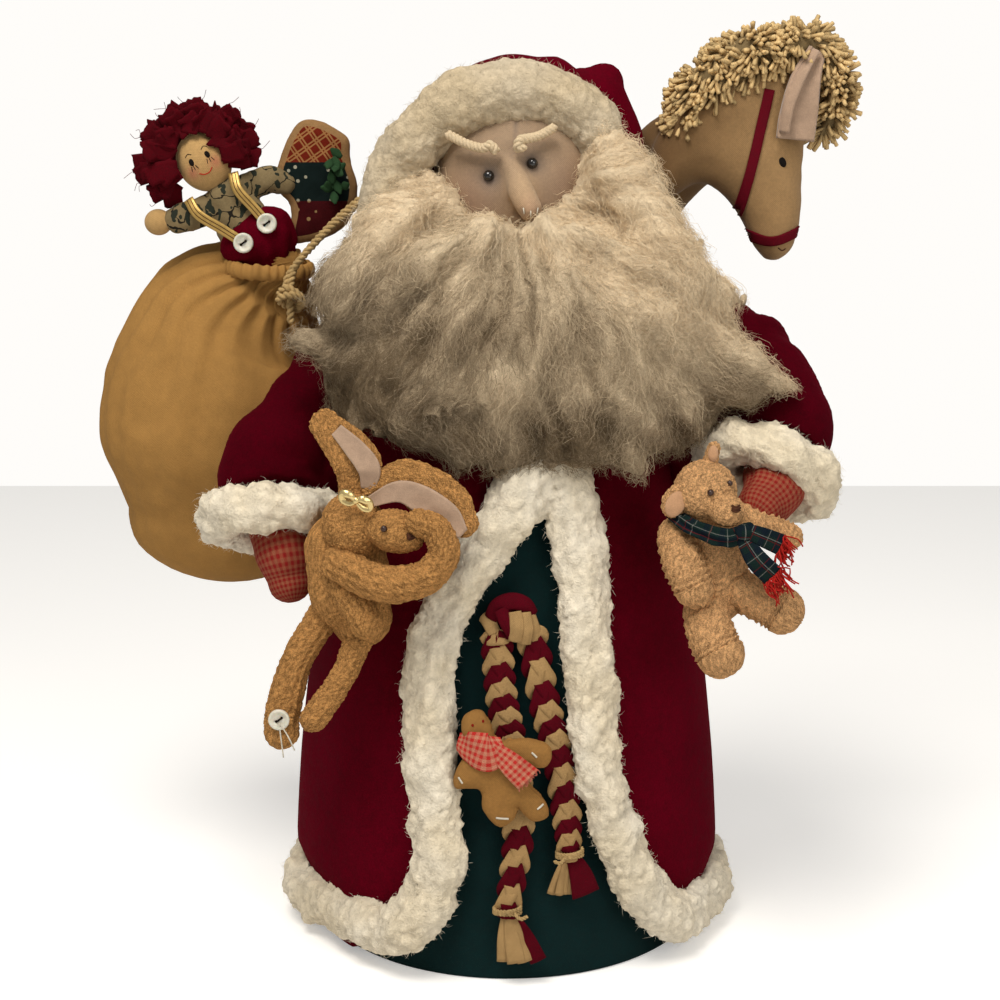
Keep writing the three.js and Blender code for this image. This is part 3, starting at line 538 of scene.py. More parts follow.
class Surface:
    """Where a finished piece's surface lies, in millimetres."""

    def __init__(self, made):
        bpy.context.view_layer.update()
        self.tree = BVHTree.FromObject(made, bpy.context.evaluated_depsgraph_get())
        self.middle = get_points(made)[:, 1].mean()

    def look(self, x, z, way):
        """The place and normal met when looking along +Y (way 1) or -Y (way -1), or the nearest to them."""
        place, normal, _, _ = self.tree.ray_cast(Vector((x, -400 * way, z)) * MM, Vector((0, way, 0)))
        if place is None:
            place, normal, _, _ = self.tree.find_nearest(Vector((x, self.middle, z)) * MM)
        return np.array(place) / MM, np.array(normal)

    def front(self, x, z):
        return self.look(x, z, 1)

    def nearest(self, point):
        place, normal, _, _ = self.tree.find_nearest(Vector(point) * MM)
        return (*(c / MM for c in place), *normal)


def front_points(surface, places, lift):
    """Points on the front of a surface, raised by lift, for x and z pairs."""
    found = [surface.front(x, z) for x, z in places]
    return np.array([place + normal * lift for place, normal in found])


def scatter(made, count, rng, keep=None):
    """Random places on a piece, even over its surface, with their normals."""
    made.data.calc_loop_triangles()
    corners = read(made.data.loop_triangles, "vertices", 3, np.int32)
    points, normals = get_points(made), get_normals(made)
    a, b, c = (points[corners[:, k]] for k in range(3))
    area = np.linalg.norm(np.cross(b - a, c - a), axis=-1)
    if keep is not None:
        area = area * keep((a + b + c) / 3, unit(normals[corners].sum(1)))
    first, second, third = corners[rng.choice(len(corners), count, p=area / area.sum())].T
    u, v = rng.random((2, count, 1))
    u, v = np.where(u + v > 1, (1 - u, 1 - v), (u, v))
    place, normal = (x[first] * (1 - u - v) + x[second] * u + x[third] * v for x in (points, normals))
    return place, unit(normal)


def spot(points, x, z, width):
    """A smooth rise to 1 where x and z are, seen from the front."""
    return np.exp(-((points[:, 0] - x) ** 2 + (points[:, 2] - z) ** 2) / width)


# Shader nodes

CLOTH_SHINE = 0.08


class Shader:
    """Adds nodes to a material or a node group."""

    def __init__(self, tree):
        self.tree = tree

    def put(self, socket, value):
        if isinstance(value, bpy.types.NodeSocket):
            self.tree.links.new(value, socket)
        elif socket.type == "RGBA" and len(value) == 3:
            socket.default_value = (*value, 1)
        else:
            socket.default_value = value

    def node(self, kind, inputs=None, out=0, **settings):
        node = self.tree.nodes.new("ShaderNode" + kind)
        for key, value in settings.items():
            setattr(node, key, value)
        for key, value in (inputs or {}).items():
            self.put(node.inputs[key], value)
        return node.outputs[out]

    def math(self, operation, a, b=0.0):
        return self.node("Math", {0: a, 1: b}, operation=operation)

    def mix(self, share, a, b):
        return self.node("Mix", {0: share, 6: a, 7: b}, out=2, data_type="RGBA")

    def between(self, value, low, high, to_low=0.0, to_high=1.0):
        inputs = {"Value": value, "From Min": low, "From Max": high, "To Min": to_low, "To Max": to_high}
        return self.node("MapRange", inputs)

    def scaled(self, vector, share):
        return self.node("VectorMath", {0: vector, "Scale": share}, operation="SCALE")

    def split(self, vector):
        """The sockets of a vector's three parts."""
        return self.node("SeparateXYZ", {0: vector}).node.outputs

    def grain(self, place, size, detail=2.0):
        """Noise about size across, in millimetres."""
        return self.node("TexNoise", {"Vector": place, "Scale": 1 / size, "Detail": detail})

    def place(self):
        """Where the point is on the object, in millimetres."""
        return self.scaled(self.node("TexCoord", out="Object"), 1 / MM)

    def cloth(self):
        """Where the point is on the flat cloth, in millimetres."""
        return self.node("UVMap", uv_map="Cloth")

    def marked(self, name):
        return self.node("Attribute", out="Fac", attribute_name=name)

    def group(self, name, out, **inputs):
        node = self.tree.nodes.new("ShaderNodeGroup")
        node.node_tree = bpy.data.node_groups[name]
        for key, value in inputs.items():
            self.put(node.inputs[key], value)
        return [node.outputs[key] for key in out]

    def dyed(self, color, place, patch, amount):
        """The colour and roughness of unevenly dyed cloth."""
        return self.group("Dye", ("Color", "Roughness"), Color=color, Place=place, Patch=patch, Amount=amount)

    def weave(self, thread=None):
        """The height of a plain weave."""
        return self.group("Threads", ("Height",), Cloth=self.cloth(), Thread=thread or size("thread"))[0]

    def weave_finish(self, color, rough, relief, dark, bright, thread=None, **plain):
        """The surface of woven cloth, with painted shade between its threads and a painted highlight on them.
        """
        height = self.weave(thread)
        woven = self.scaled(color, self.between(height, 0.0, 0.9, dark, bright))
        self.finish(woven, rough, height, relief, **plain)

    def finish(self, color, roughness, height, relief, **plain):
        """The material's surface. Plain values go on the shader's own sockets."""
        surface = self.tree.nodes.new("ShaderNodeBsdfPrincipled")
        self.put(surface.inputs["Base Color"], color)
        self.put(surface.inputs["Roughness"], roughness)
        for key, value in {"Specular_IOR_Level": CLOTH_SHINE, **plain}.items():
            surface.inputs[key.replace("_", " ")].default_value = value
        bumps = self.node("Bump", {"Height": height, "Distance": relief * MM, "Strength": 1.0})
        self.put(surface.inputs["Normal"], bumps)
        shown = self.tree.nodes.new("ShaderNodeOutputMaterial")
        self.put(shown.inputs["Surface"], surface.outputs[0])


def new_shader(name):
    """A new material's empty node tree, to add nodes to."""
    made = bpy.data.materials.new(name)
    made.use_nodes = True
    made.node_tree.nodes.clear()
    return Shader(made.node_tree)


def new_group(name, inputs, outputs):
    """A node group with its sockets, and its input and output ends."""
    tree = bpy.data.node_groups.new(name, "ShaderNodeTree")
    for way, sockets in (("INPUT", inputs), ("OUTPUT", outputs)):
        for socket, kind in sockets.items():
            tree.interface.new_socket(name=socket, in_out=way, socket_type="NodeSocket" + kind)
    return Shader(tree), tree.nodes.new("NodeGroupInput").outputs, tree.nodes.new("NodeGroupOutput").inputs


def threads_group():
    """Plain weave: threads over and under each other."""
    s, given, result = new_group("Threads", {"Cloth": "Vector", "Thread": "Float"}, {"Height": "Float"})
    flat = s.split(s.node("VectorMath", {0: given["Cloth"]}, operation="ABSOLUTE"))
    wave = []
    for axis in (0, 1):
        turns = s.math("DIVIDE", flat[axis], given["Thread"])
        wave.append(s.math("SINE", s.math("MULTIPLY", turns, math.pi)))
    slub = s.node("TexNoise", {"Vector": given["Cloth"], "Scale": 0.9, "Detail": 1.0})
    s.put(result["Height"], s.math("ADD", s.math("MULTIPLY", s.math("MULTIPLY", *wave), 0.5), slub))


def dye_group():
    """Uneven colour and wear over a piece, in patches and in small specks."""
    inputs = {"Color": "Color", "Place": "Vector", "Patch": "Float", "Amount": "Float"}
    s, given, result = new_group("Dye", inputs, {"Color": "Color", "Roughness": "Float"})
    near = s.scaled(given["Place"], s.math("DIVIDE", 1.0, given["Patch"]))
    patch = s.node("TexNoise", {"Vector": near, "Scale": 1.0, "Detail": 4.0})
    speck = s.node("TexNoise", {"Vector": near, "Scale": 9.0, "Detail": 2.0})
    both = s.math("SUBTRACT", s.math("ADD", patch, speck), 1.0)
    bright = s.math("ADD", s.math("MULTIPLY", both, given["Amount"]), 1.0)
    s.put(result["Color"], s.scaled(given["Color"], bright))
    s.put(result["Roughness"], s.between(speck, 0.3, 0.7, 0.8, 0.98))


def gingham_group():
    """A woven check: 0 where pale threads cross, 1 where dyed threads cross and a half where they mix."""
    s, given, result = new_group("Gingham", {"Cloth": "Vector", "Check": "Float"}, {"Mask": "Float"})
    flat = s.split(given["Cloth"])
    dyed = []
    for axis in (0, 1):
        part = s.math("FRACT", s.math("DIVIDE", flat[axis], given["Check"]))
        dyed.append(s.math("LESS_THAN", part, 0.5))
    s.put(result["Mask"], s.math("MULTIPLY", s.math("ADD", *dyed), 0.5))


def stripe_group():
    """Thin lines across the cloth, one each pitch."""
    inputs = {"Along": "Float", "Pitch": "Float", "Width": "Float", "Start": "Float"}
    s, given, result = new_group("Stripe", inputs, {"Mask": "Float"})
    part = s.math("FRACT", s.math("DIVIDE", s.math("ADD", given["Along"], given["Start"]), given["Pitch"]))
    s.put(result["Mask"], s.math("LESS_THAN", part, s.math("DIVIDE", given["Width"], given["Pitch"])))


def loops_group():
    """Loops of pile packed size apart: high on a loop and low between loops."""
    inputs = {"Place": "Vector", "Size": "Float"}
    s, given, result = new_group("Loops", inputs, {"Height": "Float", "Tint": "Float"})
    near = s.scaled(given["Place"], s.math("DIVIDE", 1.0, given["Size"]))
    wander = s.node("TexNoise", {"Vector": near, "Scale": 0.5, "Detail": 2.0}, out="Color")
    bent = s.node("VectorMath", {0: near, 1: wander}, operation="ADD")
    loop = s.node("TexVoronoi", {"Vector": bent, "Scale": 1.0}, out="Distance")
    s.put(result["Height"], s.between(loop, 0.0, 0.75, 1.0, 0.0))
    s.put(result["Tint"], s.node("TexNoise", {"Vector": near, "Scale": 0.35, "Detail": 3.0}))


# Materials

def colour(slot, share=1.0):
    """A colour from the panel, or a share of it."""
    return shaded(getattr(bpy.context.scene.santa_colours, slot), share)


def size(name):
    """A size from the panel, in millimetres."""
    return getattr(bpy.context.scene.santa_sizes, name) / MM


def shaded(color, share):
    return tuple(c * share for c in color[:3])


def woven(name, base, thread=None, amount=0.35, patch=28.0, relief=0.1):
    """Plain cloth, dyed or bleached, with its weave."""
    s = new_shader(name)
    tinted, rough = s.dyed(base, s.place(), patch, amount)
    s.weave_finish(tinted, rough, relief, 0.82, 1.06, thread)


def brushed(name, base, **plain):
    """Brushed cotton, whose nap catches the light where it turns away."""
    s = new_shader(name)
    place = s.place()
    tinted, rough = s.dyed(base, place, 45.0, 0.5)
    nap = s.grain(place, 1.1, 4.0)
    napped = s.scaled(tinted, s.between(nap, 0.2, 0.8, 0.75, 1.2))
    s.finish(napped, rough, s.math("ADD", s.weave(), nap), 0.09, **plain)


def blushing(name, base, blush, shadow):
    """Bleached cloth of a face, rouged and shaded where the piece is marked."""
    s = new_shader(name)
    tinted, rough = s.dyed(base, s.place(), 18.0, 0.35)
    warmed = s.mix(s.marked("blush"), tinted, blush)
    s.weave_finish(s.mix(s.marked("shadow"), warmed, shadow), rough, 0.1, 0.86, 1.05, Sheen_Weight=0.1)


def gingham(name, dyed, pale, share=1.0):
    """Red and cream woven check."""
    s = new_shader(name)
    (mask,) = s.group("Gingham", ("Mask",), Cloth=s.cloth(), Check=size("check") * share)
    tinted, rough = s.dyed(s.mix(mask, pale, dyed), s.place(), 12.0, 0.4)
    s.weave_finish(tinted, rough, 0.12, 0.8, 1.1)


def plaid(name, base, lines):
    """Dark cloth crossed by broad bands and thin lines. Each line is a pitch, width, start and colour."""
    s = new_shader(name)
    flat = s.split(s.cloth())
    color = base
    for pitch, width, start, tint in lines:
        for axis in (0, 1):
            (mask,) = s.group("Stripe", ("Mask",), Along=flat[axis], Pitch=pitch, Width=width, Start=start)
            color = s.mix(s.math("MULTIPLY", mask, 0.62), color, tint)
    tinted, rough = s.dyed(color, s.place(), 10.0, 0.4)
    s.weave_finish(tinted, rough, 0.14, 0.75, 1.15)


def leaf_print(name, ground, leaf, twig):
    """Cream cotton printed with small leaves on thin twigs."""
    s = new_shader(name)
    place = s.place()
    bend = s.node("TexNoise", {"Vector": place, "Scale": 0.12, "Detail": 2.0}, out="Color")
    bent = s.node("VectorMath", {0: place, 1: s.scaled(bend, 9.0)}, operation="ADD")
    long_way = s.node("Mapping", {"Vector": bent, "Rotation": (0.0, 0.6, 0.0), "Scale": (1.0, 1.0, 0.45)})
    leaves = s.node("TexVoronoi", {"Vector": long_way, "Scale": 0.19}, out="Distance")
    veins = s.node("TexNoise", {"Vector": bent, "Scale": 0.1, "Detail": 0.0})
    line = s.math("LESS_THAN", s.math("ABSOLUTE", s.math("SUBTRACT", veins, 0.5)), 0.018)
    printed = s.mix(s.math("LESS_THAN", leaves, 0.36), s.mix(line, ground, twig), leaf)
    tinted, rough = s.dyed(printed, place, 9.0, 0.5)
    s.finish(tinted, rough, s.weave(), 0.1)


def pile(name, tip, root, loop, relief):
    """Looped or curly pile, with painted shade down between its loops and a painted highlight on their tops.
    """
    s = new_shader(name)
    place = s.place()
    height, tint = s.group("Loops", ("Height", "Tint"), Place=place, Size=loop)
    deep = s.math("MULTIPLY", s.math("ADD", height, s.marked("depth")), 0.5)
    # From the root colour low between loops, painted shade, to the tip colour on top, a painted highlight.
    color = s.mix(s.between(deep, 0.05, 0.65), root, tip)
    uneven = s.scaled(color, s.between(tint, 0.3, 0.7, 0.82, 1.12))
    fuzz = s.grain(place, loop * 0.3, 2.0)
    s.finish(uneven, 0.95, s.math("ADD", height, s.math("MULTIPLY", fuzz, 0.5)), relief)


def fluffy(name, base):
    """Cream sherpa fleece: soft curled tufts, with painted shade down between them."""
    s = new_shader(name)
    place = s.place()
    curl = s.grain(place, 1.5, 5.0)
    patch = s.grain(place, 38.0, 2.0)
    aged = s.mix(s.between(patch, 0.35, 0.65), (base[0] * 0.92, base[1] * 0.88, base[2] * 0.80), base)
    # Darker where the tufts are low: painted shade.
    deep = s.mix(s.between(s.marked("depth"), 0.0, 0.7), s.scaled(aged, 0.78), aged)
    s.finish(s.scaled(deep, s.between(curl, 0.3, 0.7, 0.88, 1.04)), 0.95, curl, 0.9)


def combed(name, light, dark):
    """Loose wool whose fibres run with the locks."""
    s = new_shader(name)
    wander = s.node("TexNoise", {"Vector": s.place(), "Scale": 0.13, "Detail": 4.0}, out="Color")
    bent = s.node("VectorMath", {0: s.cloth(), 1: s.scaled(wander, 22.0)}, operation="ADD")
    stretched = s.node("Mapping", {"Vector": bent, "Scale": (1.5, 0.16, 1.0)})
    strands = s.node("TexNoise", {"Vector": stretched, "Scale": 1.0, "Detail": 6.0})
    # The marked shade brings in the wool's tone with its painted highlight and painted shade.
    share = s.math("ADD", s.between(strands, 0.3, 0.7, -0.25, 0.25), s.marked("shade"))
    s.finish(s.mix(share, dark, light), 0.9, strands, 1.2)


def fibre(name, light, dark):
    """Strands of wool or yarn, each a little lighter or darker than the next."""
    s = new_shader(name)
    color = s.mix(s.marked("shade"), dark, light)
    fine = s.grain(s.place(), 0.8, 3.0)
    s.finish(s.scaled(color, s.between(fine, 0.3, 0.7, 0.85, 1.12)), 0.85, fine, 0.06)


def felted(name, base):
    """Pressed wool felt, matted and slightly hairy."""
    s = new_shader(name)
    place = s.place()
    tinted, rough = s.dyed(base, place, 5.0, 0.5)
    s.finish(tinted, rough, s.grain(place, 0.7, 5.0), 0.2, Sheen_Weight=0.3)


def glossy(name, base, low, high, **plain):
    """A polished bead or button, faintly smeared by handling."""
    s = new_shader(name)
    place = s.place()
    smear = s.grain(place, 2.2, 4.0)
    color = s.scaled(base, s.between(smear, 0.3, 0.7, 0.88, 1.06))
    rough = s.between(smear, 0.3, 0.7, low, high)
    s.finish(color, rough, s.grain(place, 0.5, 2.0), 0.01, Specular_IOR_Level=0.5, **plain)


def slanted_lines(s, place):
    """Pairs of thin lines that cross aslant."""
    turned = s.split(s.node("Mapping", {"Vector": place, "Rotation": (0.0, 0.6, 0.0)}))
    masks = [s.group("Stripe", ("Mask",), Along=turned[axis], Pitch=7.0, Width=0.9, Start=start)[0]
             for axis in (0, 2) for start in (0.0, 1.8)]
    return s.math("MAXIMUM", s.math("MAXIMUM", *masks[:2]), s.math("MAXIMUM", *masks[2:]))


def scattered_dots(s, place):
    level = s.node("Mapping", {"Vector": place, "Scale": (0.17, 0.0, 0.17), "Location": (0.0, 0.5, 0.0)})
    dots = s.node("TexVoronoi", {"Vector": level, "Scale": 1.0, "Randomness": 0.5}, out="Distance")
    return s.math("LESS_THAN", dots, 0.2)


def patchwork(name, zones, ground):
    """Patches of printed cotton. Zones hold where a patch lies by height and the colours of its print."""
    s = new_shader(name)
    place = s.place()
    height = s.split(place)[2]
    color = ground
    for low, high, base, mark_color, pattern in zones:
        inside = s.math("MULTIPLY", s.math("GREATER_THAN", height, low), s.math("LESS_THAN", height, high))
        color = s.mix(inside, color, s.mix(pattern(s, place), base, mark_color))
    color = s.mix(s.between(s.marked("border"), 0.45, 0.55), color, ground)
    tinted, rough = s.dyed(color, place, 8.0, 0.45)
    s.weave_finish(tinted, rough, 0.12, 0.8, 1.08)


DULL = {"Specular_IOR_Level": 0.02}
VELVET = (0.3, 0.01, 0.03, 1.0)
CREAM = (0.62, 0.49, 0.32)
DIM_WOOL = (0.19, 0.135, 0.078)
BRIGHT_RED = (0.50, 0.022, 0.016)
NAVY = (0.004, 0.008, 0.016)
PLAID_LINES = (
    (9.0, 3.0, 0.0, NAVY),
    (9.0, 0.35, 5.0, shaded((0.55, 0.55, 0.5), 0.35)),
    (13.0, 0.4, 8.0, (0.12, 0.006, 0.006)),
)
# Patches of the ornament, their colours set darker than their own: painted shade.
PATCHES = (
    (446.0, 480.0, (0.13, 0.012, 0.005), (0.28, 0.13, 0.045), slanted_lines),
    (424.0, 446.0, (0.005, 0.011, 0.010), (0.32, 0.30, 0.22), scattered_dots),
    (390.0, 424.0, (0.045, 0.003, 0.004), (0.26, 0.16, 0.07), scattered_dots),
)
THREADS = {
    "Wool strands": ("wool", DIM_WOOL),
    "Twisted cord": ("cord", 0.6),
    "Eyebrow cord": (CREAM, 0.7),
    "Yarn": ("yarn", 0.22),
    "Red fringe": (BRIGHT_RED, 0.4),
    "Pale red thread": ((0.55, 0.2, 0.14), (0.35, 0.03, 0.025)),
    "Ravelled thread": ((0.2, 0.02, 0.02), (0.03, 0.003, 0.004)),
    "Dark thread": ((0.02, 0.015, 0.012), (0.008, 0.006, 0.005)),
    "White thread": ((0.66, 0.62, 0.52), (0.45, 0.41, 0.33)),
    "Brown thread": ((0.09, 0.035, 0.018), (0.03, 0.012, 0.008)),
}


def make_materials():
    """Every finish on the figure, by name."""
    for build in (threads_group, dye_group, gingham_group, stripe_group, loops_group):
        build()
    brushed("Burgundy cotton", colour("burgundy_cloth"), Sheen_Weight=0.14, Sheen_Tint=VELVET, **DULL)
    # The sleeves get a darker copy of the burgundy: painted shade.
    brushed("Sleeve cotton", colour("burgundy_cloth", 0.62), Sheen_Weight=0.2, Sheen_Tint=VELVET, **DULL)
    # The hood's fleece is darker and yellower: partly its own colour, partly painted shade.
    yellowed_and_shaded = tuple(c * share for c, share in zip(colour("fleece"), (0.70, 0.65, 0.58)))
    for name, tone in (("Fleece", colour("fleece")), ("Hood fleece", yellowed_and_shaded)):
        fluffy(name, tone)
        fibre(name + " hairs", tone, shaded(tone, 0.8))
    combed("Wool", colour("wool"), DIM_WOOL)
    for name, (light, dark) in THREADS.items():
        light = colour(light) if isinstance(light, str) else light
        fibre(name, light, dark if isinstance(dark, tuple) else shaded(light, dark))
    woven("Green cotton", colour("green_cloth"), amount=0.5)
    woven("Sack muslin", colour("muslin"), amount=0.3, patch=60.0, relief=0.12)
    woven("Ribbon", colour("ribbon"), thread=0.35, relief=0.05)
    woven("Torn cotton", colour("torn_cloth"), amount=0.7, patch=12.0, relief=0.14)
    woven("Gingerbread cotton", colour("gingerbread_cloth", 1.15), amount=0.4, patch=14.0)
    woven("Braid tan", (0.36, 0.225, 0.095), amount=0.5, patch=6.0)
    woven("Braid burgundy", colour("burgundy_cloth", 0.9), amount=0.5, patch=9.0)
    woven("Leaf cloth", (0.022, 0.055, 0.022), amount=0.6, patch=5.0)
    blushing("Face cloth", colour("face_cloth"), (0.30, 0.12, 0.08), (0.10, 0.085, 0.085))
    blushing("Doll face cloth", colour("doll_cloth"), (0.42, 0.13, 0.08), (0.2, 0.12, 0.06))
    blushing("Horse cotton", (0.305, 0.185, 0.082), (0.2, 0.1, 0.04), (0.085, 0.042, 0.016))
    gingham("Red gingham", colour("gingham", 0.9), (0.27, 0.085, 0.045), 1.25)
    gingham("Scarf gingham", colour("gingham", 1.9), (0.50, 0.21, 0.13), 1.3)
    plaid("Dark plaid", colour("plaid"), PLAID_LINES)
    # The ornament's ground and patches are darkened overall: painted shade.
    patchwork("Patchwork", PATCHES, (0.26, 0.145, 0.06))
    leaf_print("Leaf print", (0.19, 0.14, 0.07), (0.022, 0.026, 0.018), (0.016, 0.014, 0.01))
    for name, slot in (("Rabbit terry", "rabbit_terry"), ("Bear terry", "bear_terry")):
        # The tip colour is a lighter copy and the root a darker one: painted highlight and painted shade.
        pile(name, colour(slot, 1.5), colour(slot, 0.5), size("loop") * 0.34, 0.7)
    felted("Felt", colour("felt"))
    felted("Ear lining", colour("felt", 1.05))
    felted("Bear ear lining", (0.46, 0.26, 0.14))
    glossy("Black bead", colour("bead"), 0.08, 0.22, Coat_Weight=0.6)
    glossy("Brown bead", (0.035, 0.012, 0.006), 0.2, 0.35)
    glossy("Shirt button", colour("shell_button"), 0.22, 0.4, Subsurface_Weight=0.15)
    glossy("Gold braid", colour("gold_ribbon"), 0.3, 0.5, Metallic=0.55)
    glossy("Bow gold", (0.75, 0.58, 0.26), 0.15, 0.3, Metallic=0.8)


def dress(made, finish, slot, *nodes, fill=None):
    """Puts the finish on a piece, fastens it to the body and hides the solids it stands for."""
    made.data.materials.clear()
    made.data.materials.append(bpy.data.materials[finish])
    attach(made, "root")
    if nodes:
        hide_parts(*nodes)
    return made


def piece(name, form, *look, **more):
    """A form made into a finished piece."""
    return dress(new_piece(name, *form), *look, **more)


# Places on the dressed body. Angles are degrees from the front, + towards the figure's left

def coat_radius(z):
    z = np.asarray(z, float)
    slope = HEM_RADIUS - z * (0.04 + 0.0002 * z)
    top = HEM_RADIUS - SHOULDER_HEIGHT * (0.04 + 0.0002 * SHOULDER_HEIGHT)
    rise = np.clip((z - SHOULDER_HEIGHT) / SHOULDER_RISE, 0, 0.999)
    return np.where(z < SHOULDER_HEIGHT, slope, top * np.sqrt(1 - rise**2))


def fuller(places):
    """Places on a round section, moved outwards at its two sides as the body is."""
    heights, shares = np.array(FULLNESS, float).T
    x, y, z = np.moveaxis(places, -1, 0)
    wide = 1 + np.interp(z, heights, shares) * x * x / np.maximum(x * x + y * y, SMALL)
    return np.stack([x * wide, y, z], -1)


def on_coat(degrees, z, out=0.0):
    turn = np.radians(degrees)
    radius = coat_radius(z) + out
    return fuller(np.stack(np.broadcast_arrays(radius * np.sin(turn), -radius * np.cos(turn), z), -1))


def on_gown(x, z, out=0.0):
    radius = coat_radius(z) - COAT_CLOTH - GOWN_GAP + out
    return np.array([x, -math.sqrt(radius * radius - x * x), z])


def from_axis(places):
    return places * np.array([1.0, 1.0, 0.0])


def opening(side, z):
    heights, degrees = np.array(side, float)[::-1].T
    return np.interp(z, heights, degrees)


OPENING_RIGHT = ((345, 12), (288, 10.8), (268, 3.1), (250, -4.1), (228, -12.6), (200, -19.4), (170, -22.3),
                 (105, -20), (78, -18.6), (49, -21.1), (26, -32.2), (4, -48))
OPENING_LEFT = ((345, 14), (288, 15.4), (267, 19.7), (235, 21.5), (203, 22), (137, 23.5), (103, 26.1),
                (74, 29.6), (46, 36.2), (24, 48.9), (4, 64))
TRIM_TOP = 304
SEAM_AT = 180
FLOOR_GAP = 0.4
HAIR_RADIUS = 0.1
HAIR_STEPS = 4
COAT_TRIM_HAIRS = 4700
CUFF_HAIRS = 1000
HOOD_TRIM_HAIRS = 2400


def make_gown():
    heights = np.concatenate([[0, 0, 0, 1], np.linspace(3, NECK_HEIGHT - 2, 64), [NECK_HEIGHT]])
    radii = coat_radius(heights) - COAT_CLOTH - GOWN_GAP
    radii[:4] = 0, radii[0] / 2, radii[0] - 2, radii[0] - 0.6
    radii[-1] = 0
    grid = fuller(lathe(np.stack([radii, heights], -1), 110))
    fold = noise(grid * np.array([1, 1, 0.12]), 26, 3) * np.clip(1.4 - heights / 260, 0.2, 1.4)[:, None]
    hem_stitch = 0.5 * bump(heights - 9, 1.5)[:, None]
    inwards = np.where(heights > 1, 1.0, 0.0)[:, None] * (0.8 * np.abs(fold) + hem_stitch)
    grid = grid - unit(from_axis(grid)) * inwards[..., None]
    piece("gown_cloth", closed(grid), "Green cotton", "green_cloth", "gown")


def make_coat():
    z = np.linspace(4, NECK_HEIGHT, 66)[:, None]
    left, right = opening(OPENING_LEFT, z), opening(OPENING_RIGHT, z) + 360
    degrees = left + (right - left) * np.linspace(0, 1, 120)[None]
    grid = on_coat(degrees, z + 0 * degrees, -COAT_CLOTH / 2)
    around = np.radians(degrees)
    loose = np.clip(1.25 - z / 300, 0.25, 1.25)
    fold = 1.5 * np.sin(7 * around + 1.2 * noise(grid, 90, 5))
    fold = fold + 1.3 * noise(grid * np.array([1, 1, 0.15]), 24, 6)
    seam = 0.9 * bump(degrees - SEAM_AT, 0.8)
    grid = grid + unit(from_axis(grid)) * ((fold * loose - seam) * 0.8)[..., None]
    made = piece("coat_cloth", sheet(grid, COAT_CLOTH - 1), "Burgundy cotton", "burgundy_cloth", "coat")


def fluff(made, seed, height):
    """Raises the curly tufts of a fleece."""
    points, normals = get_points(made), get_normals(made)
    bent = points + 2.0 * drift(points, 6, seed)
    rise = 0.42 * tufts(bent, 7.5, seed) + 0.14 * tufts(bent, 3.8, seed + 7)
    rise = rise + 0.2 * noise(points, 2.0, seed + 9)
    lumps = 0.75 * noise(points, 11, seed + 4)
    raised = points + normals * ((rise + lumps - 0.45) * height)[:, None]
    raised[:, 2] = np.maximum(raised[:, 2], FLOOR_GAP)
    set_points(made, raised)
    # The tufts' height, which the fleece material darkens low down as painted shade.
    mark(made, "depth", np.clip(rise * 1.7 - 0.12, 0, 1))


def fuzz(name, made, count, seed):
    """Short curled hairs that stand out of a fleece."""
    rng = np.random.default_rng(seed)
    roots, normals = scatter(made, count, rng)
    lean = unit(rng.normal(size=(count, 3)))
    lean = unit(lean - normals * dot(lean, normals))
    side = np.cross(normals, lean)
    t = np.linspace(0, 1, HAIR_STEPS)[None, :, None]
    reach = size("fleece_hair") * rng.uniform(0.5, 1.2, (count, 1, 1))
    turn = rng.uniform(0, 2 * math.pi, (count, 1, 1)) + t * rng.uniform(2, 5, (count, 1, 1))
    curl = reach * 0.22 * t
    curves = roots[:, None] + (normals[:, None] * 0.65 + lean[:, None] * 0.75 * t) * reach * t
    curves = curves + curl * (lean[:, None] * np.cos(turn) + side[:, None] * np.sin(turn))
    curves = curves - normals[:, None] * 0.3
    curves[..., 2] = np.maximum(curves[..., 2], FLOOR_GAP)
    hairs = new_piece(name, *tubes(curves, HAIR_RADIUS * (1.1 - 0.6 * t[..., 0]))[:2])
    mark_each(hairs, "shade", rng.uniform(0.2, 1, count))
    return hairs


def fleece(made, name, hairs, seed, node, height=4.2, finish="Fleece"):
    """Finishes a fleece piece, with its hairs."""
    fluff(made, seed, height)
    dress(made, finish, "fleece", node)
    dress(fuzz(name, made, hairs, seed + 50), finish + " hairs", "fleece")


def make_coat_trim():
    out = FLEECE_DEPTH * math.sin(math.pi / 3) + 1
    halves = []
    for side, edge in ((1, OPENING_LEFT), (-1, OPENING_RIGHT)):
        route = [on_coat(13 + 4 * side, TRIM_TOP, out)]
        route += [on_coat(degrees, z, out) for z, degrees in edge[1:-1]]
        route += [on_coat(side * degrees, HEM_BAND_HEIGHT, out) for degrees in (*range(72, 184, 18), 183)]
        band = limb(route, [FLEECE_HALF] * 2, [FLEECE_DEPTH] * 2, 150, 26, from_axis, (2, 2), 0.5)
        halves.append(closed(band))
    fleece(fused("coat_trim_fleece", 2.2, 1, *halves), "coat_trim_hairs", COAT_TRIM_HAIRS, 21, "coat_trim")


